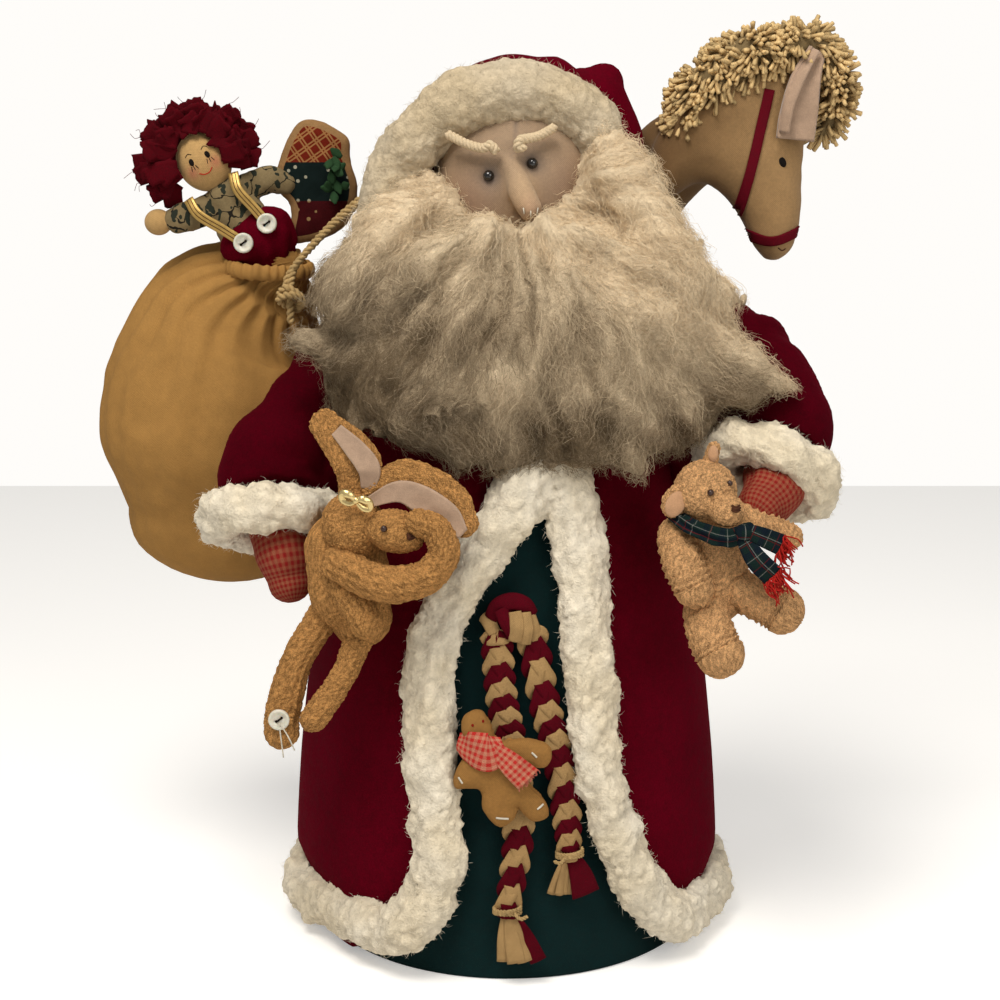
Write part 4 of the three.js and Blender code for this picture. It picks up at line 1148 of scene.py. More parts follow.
ARMS = {
    "left": {
        "route": [(60, 12, 345), (100, 8, 341), (134, -6, 328)],
        "radii": [34, 37, 35, 30, 27],
        "slack": [(82, -6, 310), (116, -36, 290)],
        "gusset": (102, -22, 272),
        "seed": 31,
    },
    "right": {
        "route": [(-55, 12, 345), (-85, 7, 331), (-108, -13, 304)],
        "radii": [34, 34, 31, 28, 27],
        "slack": [(-80, -4, 300), (-108, -30, 276)],
        "gusset": (-92, -16, 262),
        "seed": 32,
    },
}
SLACK_RADII = [26, 23]
GUSSET_RADII = (15, 16, 18)
ELBOW = 0.6
FOLD_PITCH = 24
CUFFS = {
    "right": {"at": (-132, -62, 250), "long": (1, 0, 0.06), "axis": (0.05, -0.45, -0.89)},
    "left": {"at": (142, -66, 277), "long": (0.9, 0.1, -0.42), "axis": (-0.3, -0.62, -0.72)},
}
CUFF_SIZE = {"radii": (30, 24), "thick": 13, "height": 14}
MITTENS = {
    "left": [(147, -58, 284), (144, -80, 271), (134, -96, 263)],
    "right": [(-130, -54, 254), (-124, -72, 233), (-121, -77, 219)],
}
MITTEN_RADII = [17, 17, 13]


def make_sleeves():
    for side, arm in ARMS.items():
        cuff = np.array(CUFFS[side]["at"], float)
        hand = unit(np.array(CUFFS[side]["axis"], float))
        wrist = [cuff - hand * (CUFF_SIZE["height"] + back) for back in (20, 2)]
        route, radii = arm["route"], arm["radii"]
        upper = limb(route, radii[:3], caps=(radii[0], radii[2]))
        lower = limb([route[-1], *wrist], radii[2:], caps=(radii[2], 1))
        slack = limb(arm["slack"], SLACK_RADII)
        forms = [closed(grid) for grid in (upper, lower, slack, ball(arm["gusset"], GUSSET_RADII))]
        made = fused(f"sleeve_{side}_cloth", 2.5, 8, *forms)
        crease(made, through([*route, *wrist], np.linspace(0, 1, 60)), arm["seed"])
        lay_cloth(made)
        # The sleeves' darker cotton is painted shade.
        dress(made, "Sleeve cotton", "burgundy_cloth", f"sleeve_{side}", fill=0.5)


def crease(made, line, seed):
    """Soft folds across a sleeve, deepest where the elbow bends."""
    points = get_points(made)
    run = np.linalg.norm(points[:, None] - line[None], axis=-1).argmin(1) / (len(line) - 1)
    wander = 10 * noise(points, 34, seed) + 5 * noise(points, 60, seed + 3)
    turn = 2 * math.pi * (run * length_of(line) + wander) / FOLD_PITCH
    fold = np.sin(turn) * (0.6 + 0.4 * noise(points, 22, seed + 1))
    height = 2.6 * bump(run - ELBOW, 0.06) * fold + 1.8 * noise(points, 30, seed + 2)
    raise_by(made, height + 0.5 * noise(points, 11, seed + 4) - 0.6)


def make_cuffs():
    for seed, (side, cuff) in enumerate(CUFFS.items(), 41):
        made = new_piece(f"cuff_{side}_fleece", *torus(ring(**cuff, **CUFF_SIZE)))
        fleece(made, f"cuff_{side}_hairs", CUFF_HAIRS, seed, f"cuff_{side}")


def mitten_seam(t, angle, places):
    return 0.9 * noise(places, 9, 5) - 0.8 * bump(angle - math.pi, 0.01)


def make_mittens():
    for side, route in MITTENS.items():
        form = closed(limb(route, MITTEN_RADII, rows=40, sides=48, swell=mitten_seam))
        piece(f"mitten_{side}_cloth", form, "Red gingham", "gingham", f"mitten_{side}", fill=0.7)


# Head

HEAD_AT = (4, -25, 430)
HEAD_RADII = (48, 50, 56)
NOSE = [(1, -72, 444), (6, -80, 430), (11, -86, 420)]
NOSTRILS = ((5.5, 418), (16.5, 418))
NOSE_TIP = (11, 420)
CHEEKS = ((-26, 424), (40, 432))
EYES = {"right": (-10.8, 437.5), "left": (11.9, 444)}
EYEBROWS = {
    "right": [(-7, -76, 450), (-10, -76.5, 453.5), (-14, -75, 452), (-22, -71.5, 454), (-33, -66, 459.5)],
    "left": [(8, -77, 453), (4.5, -77.5, 452), (5.5, -77.5, 456), (10, -76, 457), (16, -73, 458.5),
             (24, -69, 463)],
}
BEAD_RADIUS = 3
BROW_PLY = 1.35
PLY_PITCH = 7.0
STITCH_TOPS = [(7.5, 421), (11, 419.5), (14.5, 421)]
STITCH_ENDS = [(8, 418), (11, 416.5), (14, 418)]


def make_head():
    made = fused("head_cloth", 2.3, 5, egg(HEAD_AT, HEAD_RADII), closed(limb(NOSE, [4.5, 7, 6.5], rows=20)))
    points = get_points(made)
    x, _, z = points.T
    front = np.clip(-get_normals(made)[:, 1], 0, 1)
    sink = sum(2.2 * spot(points, *eye, 40) for eye in EYES.values())
    socket = sum(0.75 * spot(points, *eye, 34) for eye in EYES.values())
    nostrils = sum(spot(points, *nostril, 5) for nostril in NOSTRILS)
    seam = bump(x - 2 - (z - 450) * 0.1, 0.8) * (z > 446)
    blush = sum(spot(points, *cheek, 260) for cheek in CHEEKS)
    nose = np.exp(-((x - 7) ** 2) / 70 - ((z - 428) / 16) ** 4)
    raise_by(made, -(sink + 1.6 * nostrils + 0.7 * seam) * front)
    mark(made, "blush", np.clip(0.4 * blush + 0.25 * spot(points, *NOSE_TIP, 60), 0, 1) * front)
    shadow = 0.4 - 0.4 * nose + 0.7 * socket + 0.5 * nostrils + 0.3 * seam
    mark(made, "shadow", np.clip(shadow, 0, 0.85) * front)
    lay_cloth(made)
    dress(made, "Face cloth", "face_cloth", "head", fill=0.9)
    face = Surface(made)
    for side, eye in EYES.items():
        at, normal = face.front(*eye)
        bead = egg(at + normal * 0.8, [BEAD_RADIUS] * 3)
        piece(f"eye_{side}_bead", bead, "Black bead", "bead", f"eye_{side}")
        cord = tubes(blunt(plies(EYEBROWS[side], 3, BROW_PLY, PLY_PITCH, 90)), BROW_PLY, 10)
        brow = piece(f"eyebrow_{side}_cord", cord, "Eyebrow cord", "cord", f"eyebrow_{side}")
        mottle(brow, 0.7, 0.3, 2.0, 3)
    stitch_nose(face)


def stitch_nose(face):
    """Three stitches that pull in the tip of the nose."""
    ends = zip(front_points(face, STITCH_TOPS, 0.5), front_points(face, STITCH_ENDS, 0.5))
    stitches = [through([a, (a + b) / 2 + FRONT * 0.7, b], np.linspace(0, 1, 6)) for a, b in ends]
    thread = new_piece("nose_stitches", *tubes(blunt(np.array(stitches)), 0.35, 6)[:2])
    mark(thread, "shade", 0.8)
    dress(thread, "White thread", "cord")


HOOD_EDGE = [(-72, -44, 388), (-74, -44, 412), (-66, -44, 442), (-47, -48, 466), (-17, -52, 481),
             (19, -52, 483), (46, -48, 471), (62, -44, 446), (69, -44, 420), (66, -46, 392)]
HOOD_EDGE_HALF = [15, 15, 16, 17, 17.5, 17.5, 16.5, 15, 15, 15]
HOOD_EDGE_DEPTH = [17, 17]
HOOD_EDGE_SHIFT = [5, 5, 5, 4, 2, 3, 6, 7, 7, 6]
HOOD_EDGE_MIDDLE = (6, -42, 424)
HOOD_AT = (4, 6, 430)
HOOD_RADII = (73, 60, 75)
HOOD_PEAK = [(22, 8, 472), (42, 12, 480), (54, 14, 490)]
HOOD_SIDE = [(48, 10, 476), (54, 8, 452), (54, 8, 432)]
HOOD_NAPE = [(0, 350), (68, 350), (70, 353), (62, 384), (66, 400), (64, 402), (0, 402)]
FACE_OPENING = ((4, -74, 422), (66, 54, 62))


def make_hood():
    peak = closed(limb(HOOD_PEAK, [34, 27, 13], rows=12))
    side = closed(limb(HOOD_SIDE, [22, 24, 22], rows=12))
    forms = (egg(HOOD_AT, HOOD_RADII), peak, side, closed(lathe(HOOD_NAPE)))
    made = fused("hood_cloth", 3.0, 5, *forms, minus=egg(*FACE_OPENING))
    points = get_points(made)
    x, y, z = points.T
    ripple = np.sin(np.arctan2(z - 430, x - 4) * 17 + 2 * noise(points, 40, 4))
    gathers = ripple * np.exp(-np.clip(y + 40, 0, 200) / 26)
    drape = 1.5 * noise(points * np.array([0.6, 1, 0.35]), 22, 8) + 1.1 * gathers
    seam = 1.3 * bump(x - 8 - np.clip(z - 440, 0, 99) * 0.5, 2.5) * (y > 0)
    neck = 2.2 * bump(z - 386, 60) * np.sin(np.arctan2(x, y) * 21) ** 2 * (y > -20)
    raise_by(made, drape - seam - neck)
    lay_cloth(made)
    dress(made, "Burgundy cotton", "burgundy_cloth", "hood", fill=0.8)


def hood_edge_lumps(t, angle, places):
    return 1.2 * noise(places, 16, 4)


def make_hood_trim():
    edge = np.array(HOOD_EDGE, float)
    inwards = unit((np.array(HOOD_EDGE_MIDDLE, float) - edge) * np.array([1, 0, 1]))
    route = edge + inwards * np.array(HOOD_EDGE_SHIFT, float)[:, None]
    grid = limb(route, HOOD_EDGE_HALF, HOOD_EDGE_DEPTH, rows=190, sides=76, swell=hood_edge_lumps)
    made = new_piece("hood_trim_fleece", *closed(grid))
    fleece(made, "hood_trim_hairs", HOOD_TRIM_HAIRS, 61, "hood_trim", 2.8, "Hood fleece")


# Beard

BEARD_ROUTE = [(8, -84, 404), (8, -98, 378), (12, -106, 350), (20, -107, 324), (16, -105, 302),
               (18, -105, 288)]
BEARD_WIDTHS = [66, 106, 120, 104, 68, 36]
BEARD_DEPTHS = [16, 20, 22, 19, 13, 9]
BEARD_CURL = 46
LOCK_TIPS = [(-92, -52, 404), (-113, -60, 373), (-119, -68, 349), (-95, -84, 323), (-66, -94, 300),
             (-12, -110, 282), (69, -106, 284), (101, -96, 304), (152, -72, 327), (131, -54, 370),
             (108, -42, 404)]
LOCK_ROOT = np.array([10.0, -100.0, 368.0])
TUFTS = [
    ([(-54, -62, 426), (-62, -72, 410), (-74, -80, 378)], [14, 22, 27]),
    ([(52, -58, 460), (64, -68, 430), (82, -78, 378)], [12, 23, 27]),
    ([(-44, -56, 432), (-36, -64, 418), (-18, -78, 407)], [13, 13, 10]),
    ([(46, -56, 442), (38, -64, 422), (24, -80, 407)], [13, 13, 10]),
    ([(-30, -62, 408), (8, -70, 398), (44, -62, 408)], [14, 18, 14]),
    ([(7, -96, 408), (-20, -102, 405), (-48, -100, 392), (-66, -94, 374)], [5, 10, 12, 7]),
    ([(14, -96, 408), (40, -102, 406), (64, -99, 393), (84, -94, 376)], [5, 10, 12, 7]),
]
HEART = np.array([8.0, -70.0, 434.0])
# Each lock: its middle line seen from the front, its half width, and how much lighter it is, partly its own
# colour and partly a painted highlight on the raised rope.
LOCKS = [
    ([(21, 414), (54, 382), (89, 365), (130, 346), (155, 322)], 11, 0.3),
    ([(19, 413), (28, 388), (22, 359), (5, 337), (-4, 316)], 10, 0.2),
    ([(-34, 427), (-70, 408), (-91, 387), (-97, 369)], 13, 0.2),
    ([(-47, 388), (-80, 348), (-97, 345), (-114, 355)], 10, 0.15),
    ([(-45, 365), (-73, 328), (-54, 307), (-25, 301)], 12, 0.0),
    ([(47, 363), (66, 325), (69, 295)], 14, 0.1),
    ([(53, 441), (75, 422), (102, 391), (113, 372)], 13, 0.25),
    ([(-10, 412), (-26, 379), (-31, 348), (-52, 322)], 10, 0.15),
    ([(84, 358), (105, 332), (129, 319)], 10, -0.1),
    ([(0, 358), (31, 322), (37, 295)], 11, -0.1),
]
LOCK_HEIGHT = 6.5
BEARD_SHRINK = 4.0
STRAYS = 0.07
BEARD_STRANDS = 4300
BEARD_FUZZ = 6200


def around_heart(points):
    """Angle and distance from where the wool parts, seen from the front. Angle 0 is straight down."""
    x, z = points[..., 0] - HEART[0], points[..., 2] - HEART[2]
    return np.arctan2(x, -z), np.hypot(x, z)


def on_locks(points):
    """How strongly each point lies on a lock, the way that its wool runs and how much lighter it is, partly
    its own cream and partly a painted highlight on the raised rope.
    """
    strength, tone = np.zeros(len(points)), np.zeros(len(points))
    way = np.zeros((len(points), 3))
    for line, half, lightness in LOCKS:
        path = through(np.array([(x, 0, z) for x, z in line], float), np.linspace(0, 1, 24))
        gap = np.linalg.norm((points[:, None] - path)[..., [0, 2]], axis=-1)
        near = np.exp(-((gap.min(1) / half) ** 2))
        way += unit(np.gradient(path, axis=0))[gap.argmin(1)] * near[:, None]
        tone += lightness * near
        strength = np.maximum(strength, near)
    return strength, way, tone


def beard_base():
    mass = limb(BEARD_ROUTE, BEARD_WIDTHS, BEARD_DEPTHS, rows=40, sides=48, caps=(10, 6))
    share = (mass[..., 0] - LOCK_ROOT[0]) / BEARD_WIDTHS[2]
    mass[..., 1] += BEARD_CURL * share**2
    forms = [closed(mass)] + [closed(limb(route, radii, rows=20)) for route, radii in TUFTS]
    for i, tip in enumerate(LOCK_TIPS):
        start, bend = (LOCK_ROOT + (np.array(tip) - LOCK_ROOT) * share for share in (0.45, 0.8))
        bend[2] += 5 if i % 2 else -5
        forms.append(closed(limb([start, bend, tip], [28, 17, 3], [10, 11, 3], rows=16)))
    made = fused("beard_wool", 2.6, 4, *forms)
    points = get_points(made)
    angle, reach = around_heart(points)
    flow = np.stack([angle * 7 + 0.9 * noise(points, 42, 8), reach / 46, points[:, 1] / 60], -1)
    locks = 1 - 2 * np.abs(noise(flow, 1.0, 9))
    curls = noise(flow * np.array([2.6, 2.4, 1]), 1.0, 10)
    strength, _, tone = on_locks(points)
    rope = LOCK_HEIGHT * (strength - 0.35)
    fine = 1.4 * noise(points, 8, 12)
    raise_by(made, rope + 2.6 * locks + 2.2 * curls + fine + 0.8 * noise(points, 4, 13) - BEARD_SHRINK)
    # Lighter on the crests of the locks and curls and darker in their hollows: painted highlight and painted
    # shade, with the wool's tone and each lock's lightness.
    mark(made, "shade", np.clip(0.15 * locks + 0.2 * curls + wool_tone_and_shade(points) + tone, 0.05, 1))
    lay_flat(made.data, np.stack([angle * 90, reach], -1)[get_corners(made)])
    return made


def wool_tone_and_shade(points):
    """The wool is cream by the hood and greyer and darker lower down, more so on its right: partly its own
    colour, partly painted shade.
    """
    x = points[:, 0]
    level = 0.53 + (points[:, 2] - 370) / 150 + np.where(x < 0, x / 220, x / 900)
    return np.clip(level, 0.12, 0.9) + 0.32 * noise(points, 30, 14)


def wool_strands(name, base, surface, count, seed, length, stray, steps=6):
    """Wavy strands combed away from the middle of the face, in locks. Stray is how far they wander."""
    rng = np.random.default_rng(seed)
    roots, normal = scatter(base, count, rng, towards_front)
    here = roots
    reach = length * rng.uniform(0.6, 1.25, (count, 1))
    far_out = rng.random((count, 1)) < STRAYS
    lift = np.where(far_out, rng.uniform(3, 8, (count, 1)), rng.uniform(0.3, 2.4 + 2.4 * stray, (count, 1)))
    strayed = stray * rng.normal(0, 0.9, (count, 3))
    path, facings = [here], [normal]
    for step in range(steps - 1):
        away = unit((here - HEART) * np.array([1, 0.25, 1]))
        strength, lock_way, _ = on_locks(here)
        away = (away - UP * 0.6) * (1 - 0.8 * strength[:, None]) + 1.6 * lock_way
        way = unit(away) + 0.9 * drift(here, 30, 5) + 0.7 * drift(here, 13, seed) + strayed
        way = unit(way - normal * dot(way, normal) * (0.9 if step < 3 else 0.5))
        here = here + way * reach / (steps - 1)
        near = np.array([surface.nearest(p) for p in here])
        here = here + (near[:, :3] - here) * (0.8 if step < steps - 3 else 0.45)
        normal = unit(normal + near[:, 3:] * 0.6)
        path.append(here)
        facings.append(normal)
    curves, outs = np.stack(path, 1), np.stack(facings, 1)
    side = unit(np.cross(outs, unit(np.gradient(curves, axis=1))))
    t = np.linspace(0, 1, steps)[None, :, None]
    phase = 9 * noise(roots, 13, seed)[:, None, None]
    turn = phase + t * reach[:, None] / 1.6 + rng.normal(0, 0.5 + stray, (count, 1, 1))
    wave = (1.3 + 0.8 * stray) * (0.35 + t) * (side * np.sin(turn) + 0.7 * outs * np.cos(turn))
    curves = curves + wave + outs * lift[:, None] * (0.4 + 0.6 * t)
    made = new_piece(name, *tubes(curves, size("wool_strand") / 2 * (1.15 - 0.7 * t[..., 0])))
    # The wool's tone with its painted shade, the lock's lightness with its painted highlight, and random
    # variation.
    tone = wool_tone_and_shade(roots) + on_locks(roots)[2] + 0.15 * noise(roots, 9, seed + 5)
    tone = tone + rng.normal(0, 0.13, count)
    mark_each(made, "shade", np.clip(tone, 0, 1))
    dress(made, "Wool strands", "wool")


def towards_front(places, normals):
    """How thickly strands grow, from the way that the wool faces."""
    return (normals[:, 1] < 0.35) * np.clip(0.4 - normals[:, 1], 0.15, 1)


def make_beard():
    base = beard_base()
    surface = Surface(base)
    dress(base, "Wool", "wool", "beard")
    wool_strands("beard_strands", base, surface, BEARD_STRANDS, seed=71, length=26, stray=0.45)
    wool_strands("beard_fuzz", base, surface, BEARD_FUZZ, seed=72, length=11, stray=1.2, steps=4)


# Sack

SACK_ROUTE = [(-128, 6, 386), (-140, 18, 378), (-160, 32, 352), (-168, 38, 312), (-171, 40, 270),
              (-176, 40, 232)]
SACK_WIDTHS = [11, 30, 60, 77, 78, 58]
SACK_DEPTHS = [11, 26, 48, 60, 60, 42]
SACK_MOUTH = np.array([-139.5, 7, 385])
MOUTH_ROWS = 160
MOUTH_RADII = (23, 17)
PLY_LAY = 1.1
SACK_CORD = [(-124, -22, 356), (-124, -20, 369), (-124, -14, 384), (-106, -18, 405), (-88, -20, 421),
             (-72, -26, 432)]
CORD_KNOT = [(-131, -19, 371), (-126, -25, 376), (-118, -24, 371), (-120, -18, 365), (-128, -17, 366),
             (-130, -24, 370), (-122, -27, 372), (-116, -22, 368), (-122, -16, 362)]


def sack_folds(t, angle, places):
    """Pleats that fan out below the drawstring, and slack lower down."""
    wander = 0.8 * noise(places, 45, 3)
    pleat = np.abs(np.sin(9.5 * (angle + wander * 0.25))) - 0.5
    fine = np.abs(np.sin(21 * (angle + wander * 0.2) + 1)) - 0.5
    gather = np.exp(-t / 0.34)
    slack = 2.6 * noise(places * np.array([1, 1, 0.4]), 30, 6) + 1.0 * noise(places, 13, 7)
    return 9.5 * gather * np.clip(t * 9, 0.25, 1) * pleat + 3.0 * gather * fine + slack * np.clip(t * 3, 0, 1)


def make_sack():
    grid = limb(SACK_ROUTE, SACK_WIDTHS, SACK_DEPTHS, 88, 150, caps=(8, 40), swell=sack_folds, ends=11)
    piece("sack_muslin", closed(grid), "Sack muslin", "muslin", "sack", fill=0.7)
    make_sack_mouth()


def make_sack_mouth():
    """The sack's gathered edge, rolled round the doll."""
    grid = ring(SACK_MOUTH, (1, 0, 0), (0.05, -0.1, 1), MOUTH_RADII, 2.6, 4.6, MOUTH_ROWS, 20)
    turn = angles(MOUTH_ROWS)[:, None, None]
    gather = np.sin(27 * turn + 1.5 * np.sin(5 * turn)) + 0.5 * np.sin(11 * turn + 2)
    away = unit(grid.mean(1, keepdims=True) - SACK_MOUTH)
    piece("sack_mouth_muslin", torus(grid + away * gather * 0.9 + UP * gather * 0.6), "Sack muslin", "muslin")


def make_sack_cord():
    route = np.array(SACK_CORD, float)
    pulled = (np.arange(len(route)) > 1)[:, None]
    runs = [route + pulled * np.array([shift * 0.8, 0, shift]) for shift in (-2.4, 2.4)]
    strands = [blunt(plies(run, 2, PLY_LAY, PLY_PITCH, 90)) for run in (*runs, CORD_KNOT)]
    cord = tubes(np.concatenate(strands), 1.25, 8)[:2]
    mottle(piece("sack_drawstring", cord, "Twisted cord", "cord", "sack_cord"), 0.6, 0.4, 1.6, 5)


# Sewn and stuffed work

BUTTON_TURN = -35
BUTTON_PROFILE = [(0, -1.2), (5.2, -1.2), (5.7, -0.5), (5.7, 0.6), (5.1, 1.2), (4.3, 1.1), (3.7, 0.5),
                  (0, 0.4)]
BUTTON_HOLE = [(0, -3), (0.85, -3), (0.85, 3), (0, 3)]
BUTTON_LOOP = [(-1.7, 1.5, 0), (-1.9, -0.6, 0), (0, -1.1, 0), (1.9, -0.6, 0), (1.7, 1.5, 0)]
SEAM_HALF = 1.2


def button(name, at, node):
    """A two-hole button facing the front, with the thread that holds it."""
    at = np.array(at, float)
    made = new_piece(name, *closed(facing_front(lathe(BUTTON_PROFILE, 40)) + at))
    drills = [facing_front(lathe(BUTTON_HOLE, 14) + np.array([side * 1.7, 0, 0])) for side in (-1, 1)]
    cut(made, joined(*(closed(tilted(drill, BUTTON_TURN) + at) for drill in drills)))
    dress(made, "Shirt button", "shell_button", node)
    loops = [tilted(np.array(BUTTON_LOOP) + UP * lift, BUTTON_TURN) + at for lift in (-0.25, 0.25)]
    sewn(name + "_thread", loops, 0.3, "Dark thread", "cord", 10)


def sewn(name, routes, radius, finish, slot="cord", steps=8, sides=6):
    """Threads along short routes, as one piece."""
    curves = np.array([through(route, np.linspace(0, 1, steps)) for route in routes])
    mottle(piece(name, tubes(blunt(curves), radius, sides), finish, slot), 0.6, 0.4, 2.0, 5)


def fray(edge, way, name, finish, slot, length, count, seed, thick):
    """Loose threads along a torn edge."""
    rng = np.random.default_rng(seed)
    start = through(edge, np.sort(rng.random(count)))
    tips = start + (way + rng.normal(0, 0.26, (count, 3))) * length * rng.uniform(0.6, 1.3, (count, 1))
    middle = (start + tips) / 2 + rng.normal(0, 0.2, (count, 3)) * length
    sewn(name, np.stack([start, middle, tips], 1), thick, finish, slot, 5, 4)


def stuffed(name, outline, y, thickness, puff, voxel, corners=96):
    """A stuffed flat shape from its outline seen from the front, at its thickest puff in from the seam."""
    p = np.array([outline[-1], *outline, *outline[:2]], float)
    place = np.linspace(0, len(outline), corners, endpoint=False)
    i = place.astype(int)
    edge = spline(p[i], p[i + 1], p[i + 2], p[i + 3], (place - i)[:, None])
    bm = bmesh.new()
    sides = [[bm.verts.new((x, y + side * thickness / 2, z)) for x, z in edge] for side in (-1, 1)]
    for side in sides:
        bm.faces.new(side)
    for k in range(corners):
        bm.faces.new([sides[0][k - 1], sides[0][k], sides[1][k], sides[1][k - 1]])
    bmesh.ops.triangulate(bm, faces=bm.faces)
    bmesh.ops.recalc_face_normals(bm, faces=bm.faces)
    bm.verts.index_update()
    faces = [np.array([[v.index for v in f.verts] for f in bm.faces])]
    made = fused(name, voxel, 2, (np.array([v.co for v in bm.verts]), faces, unlaid(faces)))
    bm.free()
    points = get_points(made)
    far = np.concatenate([from_edge(part, edge) for part in np.array_split(points[:, [0, 2]], 8)])
    far = np.clip(far / puff, 0, 1)
    half = SEAM_HALF + (thickness / 2 - SEAM_HALF) * np.sqrt(1 - (1 - far) ** 2)
    points[:, 1] = y + (points[:, 1] - y) / (thickness / 2) * half
    set_points(made, points)
    lay_cloth(made)
    return made, far


def wrinkle(made, depth, across, seed):
    """Small dents and puckers in a stuffed piece."""
    points = get_points(made)
    raise_by(made, depth * (noise(points, across, seed) + 0.5 * noise(points, across / 2.3, seed + 1)))


# Doll

DOLL_HEAD = (-175, 4, 446.5)
DOLL_HEAD_RADII = (15.5, 12, 17.5)
DOLL_TILT = -27
DOLL_EYE_RADII = (1.5, 0.6, 2.1)
DOLL_MOUTH = [(-4, -6), (-1.5, -7.6), (1.5, -7.6), (4, -6)]
SHIRT = (
    ([(-162, 5, 428), (-152, 6, 408), (-145, 8, 392)], [13, 17, 17], [9, 11, 11]),
    ([(-164, 5, 423), (-180, 3, 417), (-193, 2, 413)], [8, 8.5, 7.5], [6, 6, 6]),
    ([(-150, 6, 432), (-138, 8, 436), (-128, 9, 434)], [8, 8, 6], [6, 6, 5]),
)
DOLL_PALM = ((-202, 2, 412), (8, 5.5, 7.5))
OVERALLS = ([(-147, 4, 405), (-143, 6, 399), (-141, 8, 393)], [22, 21, 17], [13, 14, 12])
STRAPS = (
    {"button": (-151.5, -10.5, 400.5), "top": (-183, -5, 425)},
    {"button": (-138, -9.5, 411.5), "top": (-157, -5, 440)},
)
STRAP_FRONT = -8.5
TORN_FLAPS = 54
HAIR_AT = np.array([-177.0, 4.0, 449.0])
HAIR_CAP = ((-177, 13, 455), (21, 12, 18))


def on_doll(x, z):
    """A place in the tilted head, seen from the front."""
    return tilted(np.array([x, 0.0, z]), DOLL_TILT)[[0, 2]] + np.array(DOLL_HEAD, float)[[0, 2]]


def doll_lines(head, lines, lift):
    """Lines on the front of the tilted head."""
    return [front_points(head, [on_doll(x, z) for x, z in line], lift) for line in lines]


def make_doll_head():
    made = new_piece("doll_head_cloth", *egg(DOLL_HEAD, DOLL_HEAD_RADII, 50, 64, DOLL_TILT))
    front = np.clip(-get_normals(made)[:, 1], 0, 1)
    rouge = sum(spot(get_points(made), *on_doll(x, -4), 14) for x in (-7.5, 7.5))
    mark(made, "blush", 0.75 * rouge * front)
    mark(made, "shadow", 0)
    dress(made, "Doll face cloth", "doll_cloth", "doll_head", fill=0.9)
    head = Surface(made)
    eyes = [egg(head.front(*on_doll(x, 1.5))[0], DOLL_EYE_RADII, 10, 14, DOLL_TILT) for x in (-5, 5)]
    piece("doll_eyes", joined(*eyes), "Dark thread", "cord")
    sewn("doll_mouth", doll_lines(head, [DOLL_MOUTH], 0.15), 0.32, "Red fringe", steps=14)
    lines = [[(side * 3.2, 5.5), (side * 5, 6.6), (side * 7, 5.6)] for side in (-1, 1)]
    lines += [[(side * 5 + d, -0.8), (side * 5 + d * 1.3, -2), (side * 5 + d * 1.6, -3)]
              for side in (-1, 1) for d in (-1.3, 0, 1.3)]
    sewn("doll_brows", doll_lines(head, lines, 0.1), 0.22, "Dark thread")


def make_torn_hair():
    """Torn flaps of cloth in three layers round the doll's face, with their ravelled threads."""
    rng = np.random.default_rng(81)
    flaps = [egg(*HAIR_CAP)]
    ends = []
    for k in range(TORN_FLAPS):
        layer = k % 3
        turn = math.radians(-10 + 236 * ((k * 0.618 + rng.uniform(0, 0.03)) % 1))
        way = np.array([math.cos(turn), 0, math.sin(turn)])
        aside = np.array([-way[2], 0, way[0]]) * rng.normal(0, 0.35)
        start = HAIR_AT + way * (21, 17, 13.5)[layer] + BEHIND * (4, -5, -10)[layer]
        out = unit(way + aside + FRONT * (0.05, 0.3, 0.35)[layer] * rng.uniform(-0.3, 1))
        reach = rng.uniform(10, 15) * (1.3 if turn > 2.9 else 1)
        bow = rng.normal(0, 1.2, 3)
        lean = unit(FRONT + way * (0.0, 0.2, 0.35)[layer] + rng.normal(0, 0.16, 3))
        route = [start, start + out * reach * 0.5 + bow, start + out * reach]
        halves = rng.uniform([4.6, 5, 4.8], [5.6, 6.2, 6.6])
        grid = strip(route, halves, lean, 9, 7, rng.uniform(-0.3, 0.4), 0.3, k)
        grid[-2:] += out * rng.uniform(-0.8, 0.8, 7)[None, :, None] * np.array([0.4, 1.0])[:, None, None]
        flaps.append(sheet(grid, 0.7))
        if layer == 0:
            end = grid[-1, 0]
            ends.append([end, end + out * 2 + rng.normal(0, 0.8, 3), end + out * 4 + rng.normal(0, 2, 3)])
    piece("doll_torn_hair", joined(*flaps), "Torn cotton", "torn_cloth", "doll_hair")
    sewn("doll_hair_threads", ends, 0.16, "Ravelled thread", "torn_cloth", 5, 3)


def overall_folds(t, angle, places):
    return 1.0 * noise(places, 8, 2) + 0.8 * np.sin(angle * 9 + 3 * t) * t


def make_strap(name, chest, button, top):
    """A stitched ribbon from a button up over the shoulder."""
    start, top = np.array(button, float) + BEHIND * 1.6, np.array(top, float)
    route = [start]
    for part, bow in ((0.35, 1.5), (0.75, 3.5)):
        place = start + (top - start) * part + np.array([-0.5, 0, -0.7]) * bow
        place[1] = min(chest.front(place[0], place[2])[0][1], STRAP_FRONT) - 0.6
        route.append(place)
    ribbon = strip([*route, top], [2.9, 2.9], FRONT, 24, 7, 0.3)
    piece(name + "_ribbon", sheet(ribbon, 0.8), "Gold braid", "gold_ribbon", name)
    lines = [ribbon[:, column] + FRONT * 0.45 for column in (2, 4)]
    sewn(name + "_stitching", lines, 0.22, "Brown thread", "cord", 40, 4)


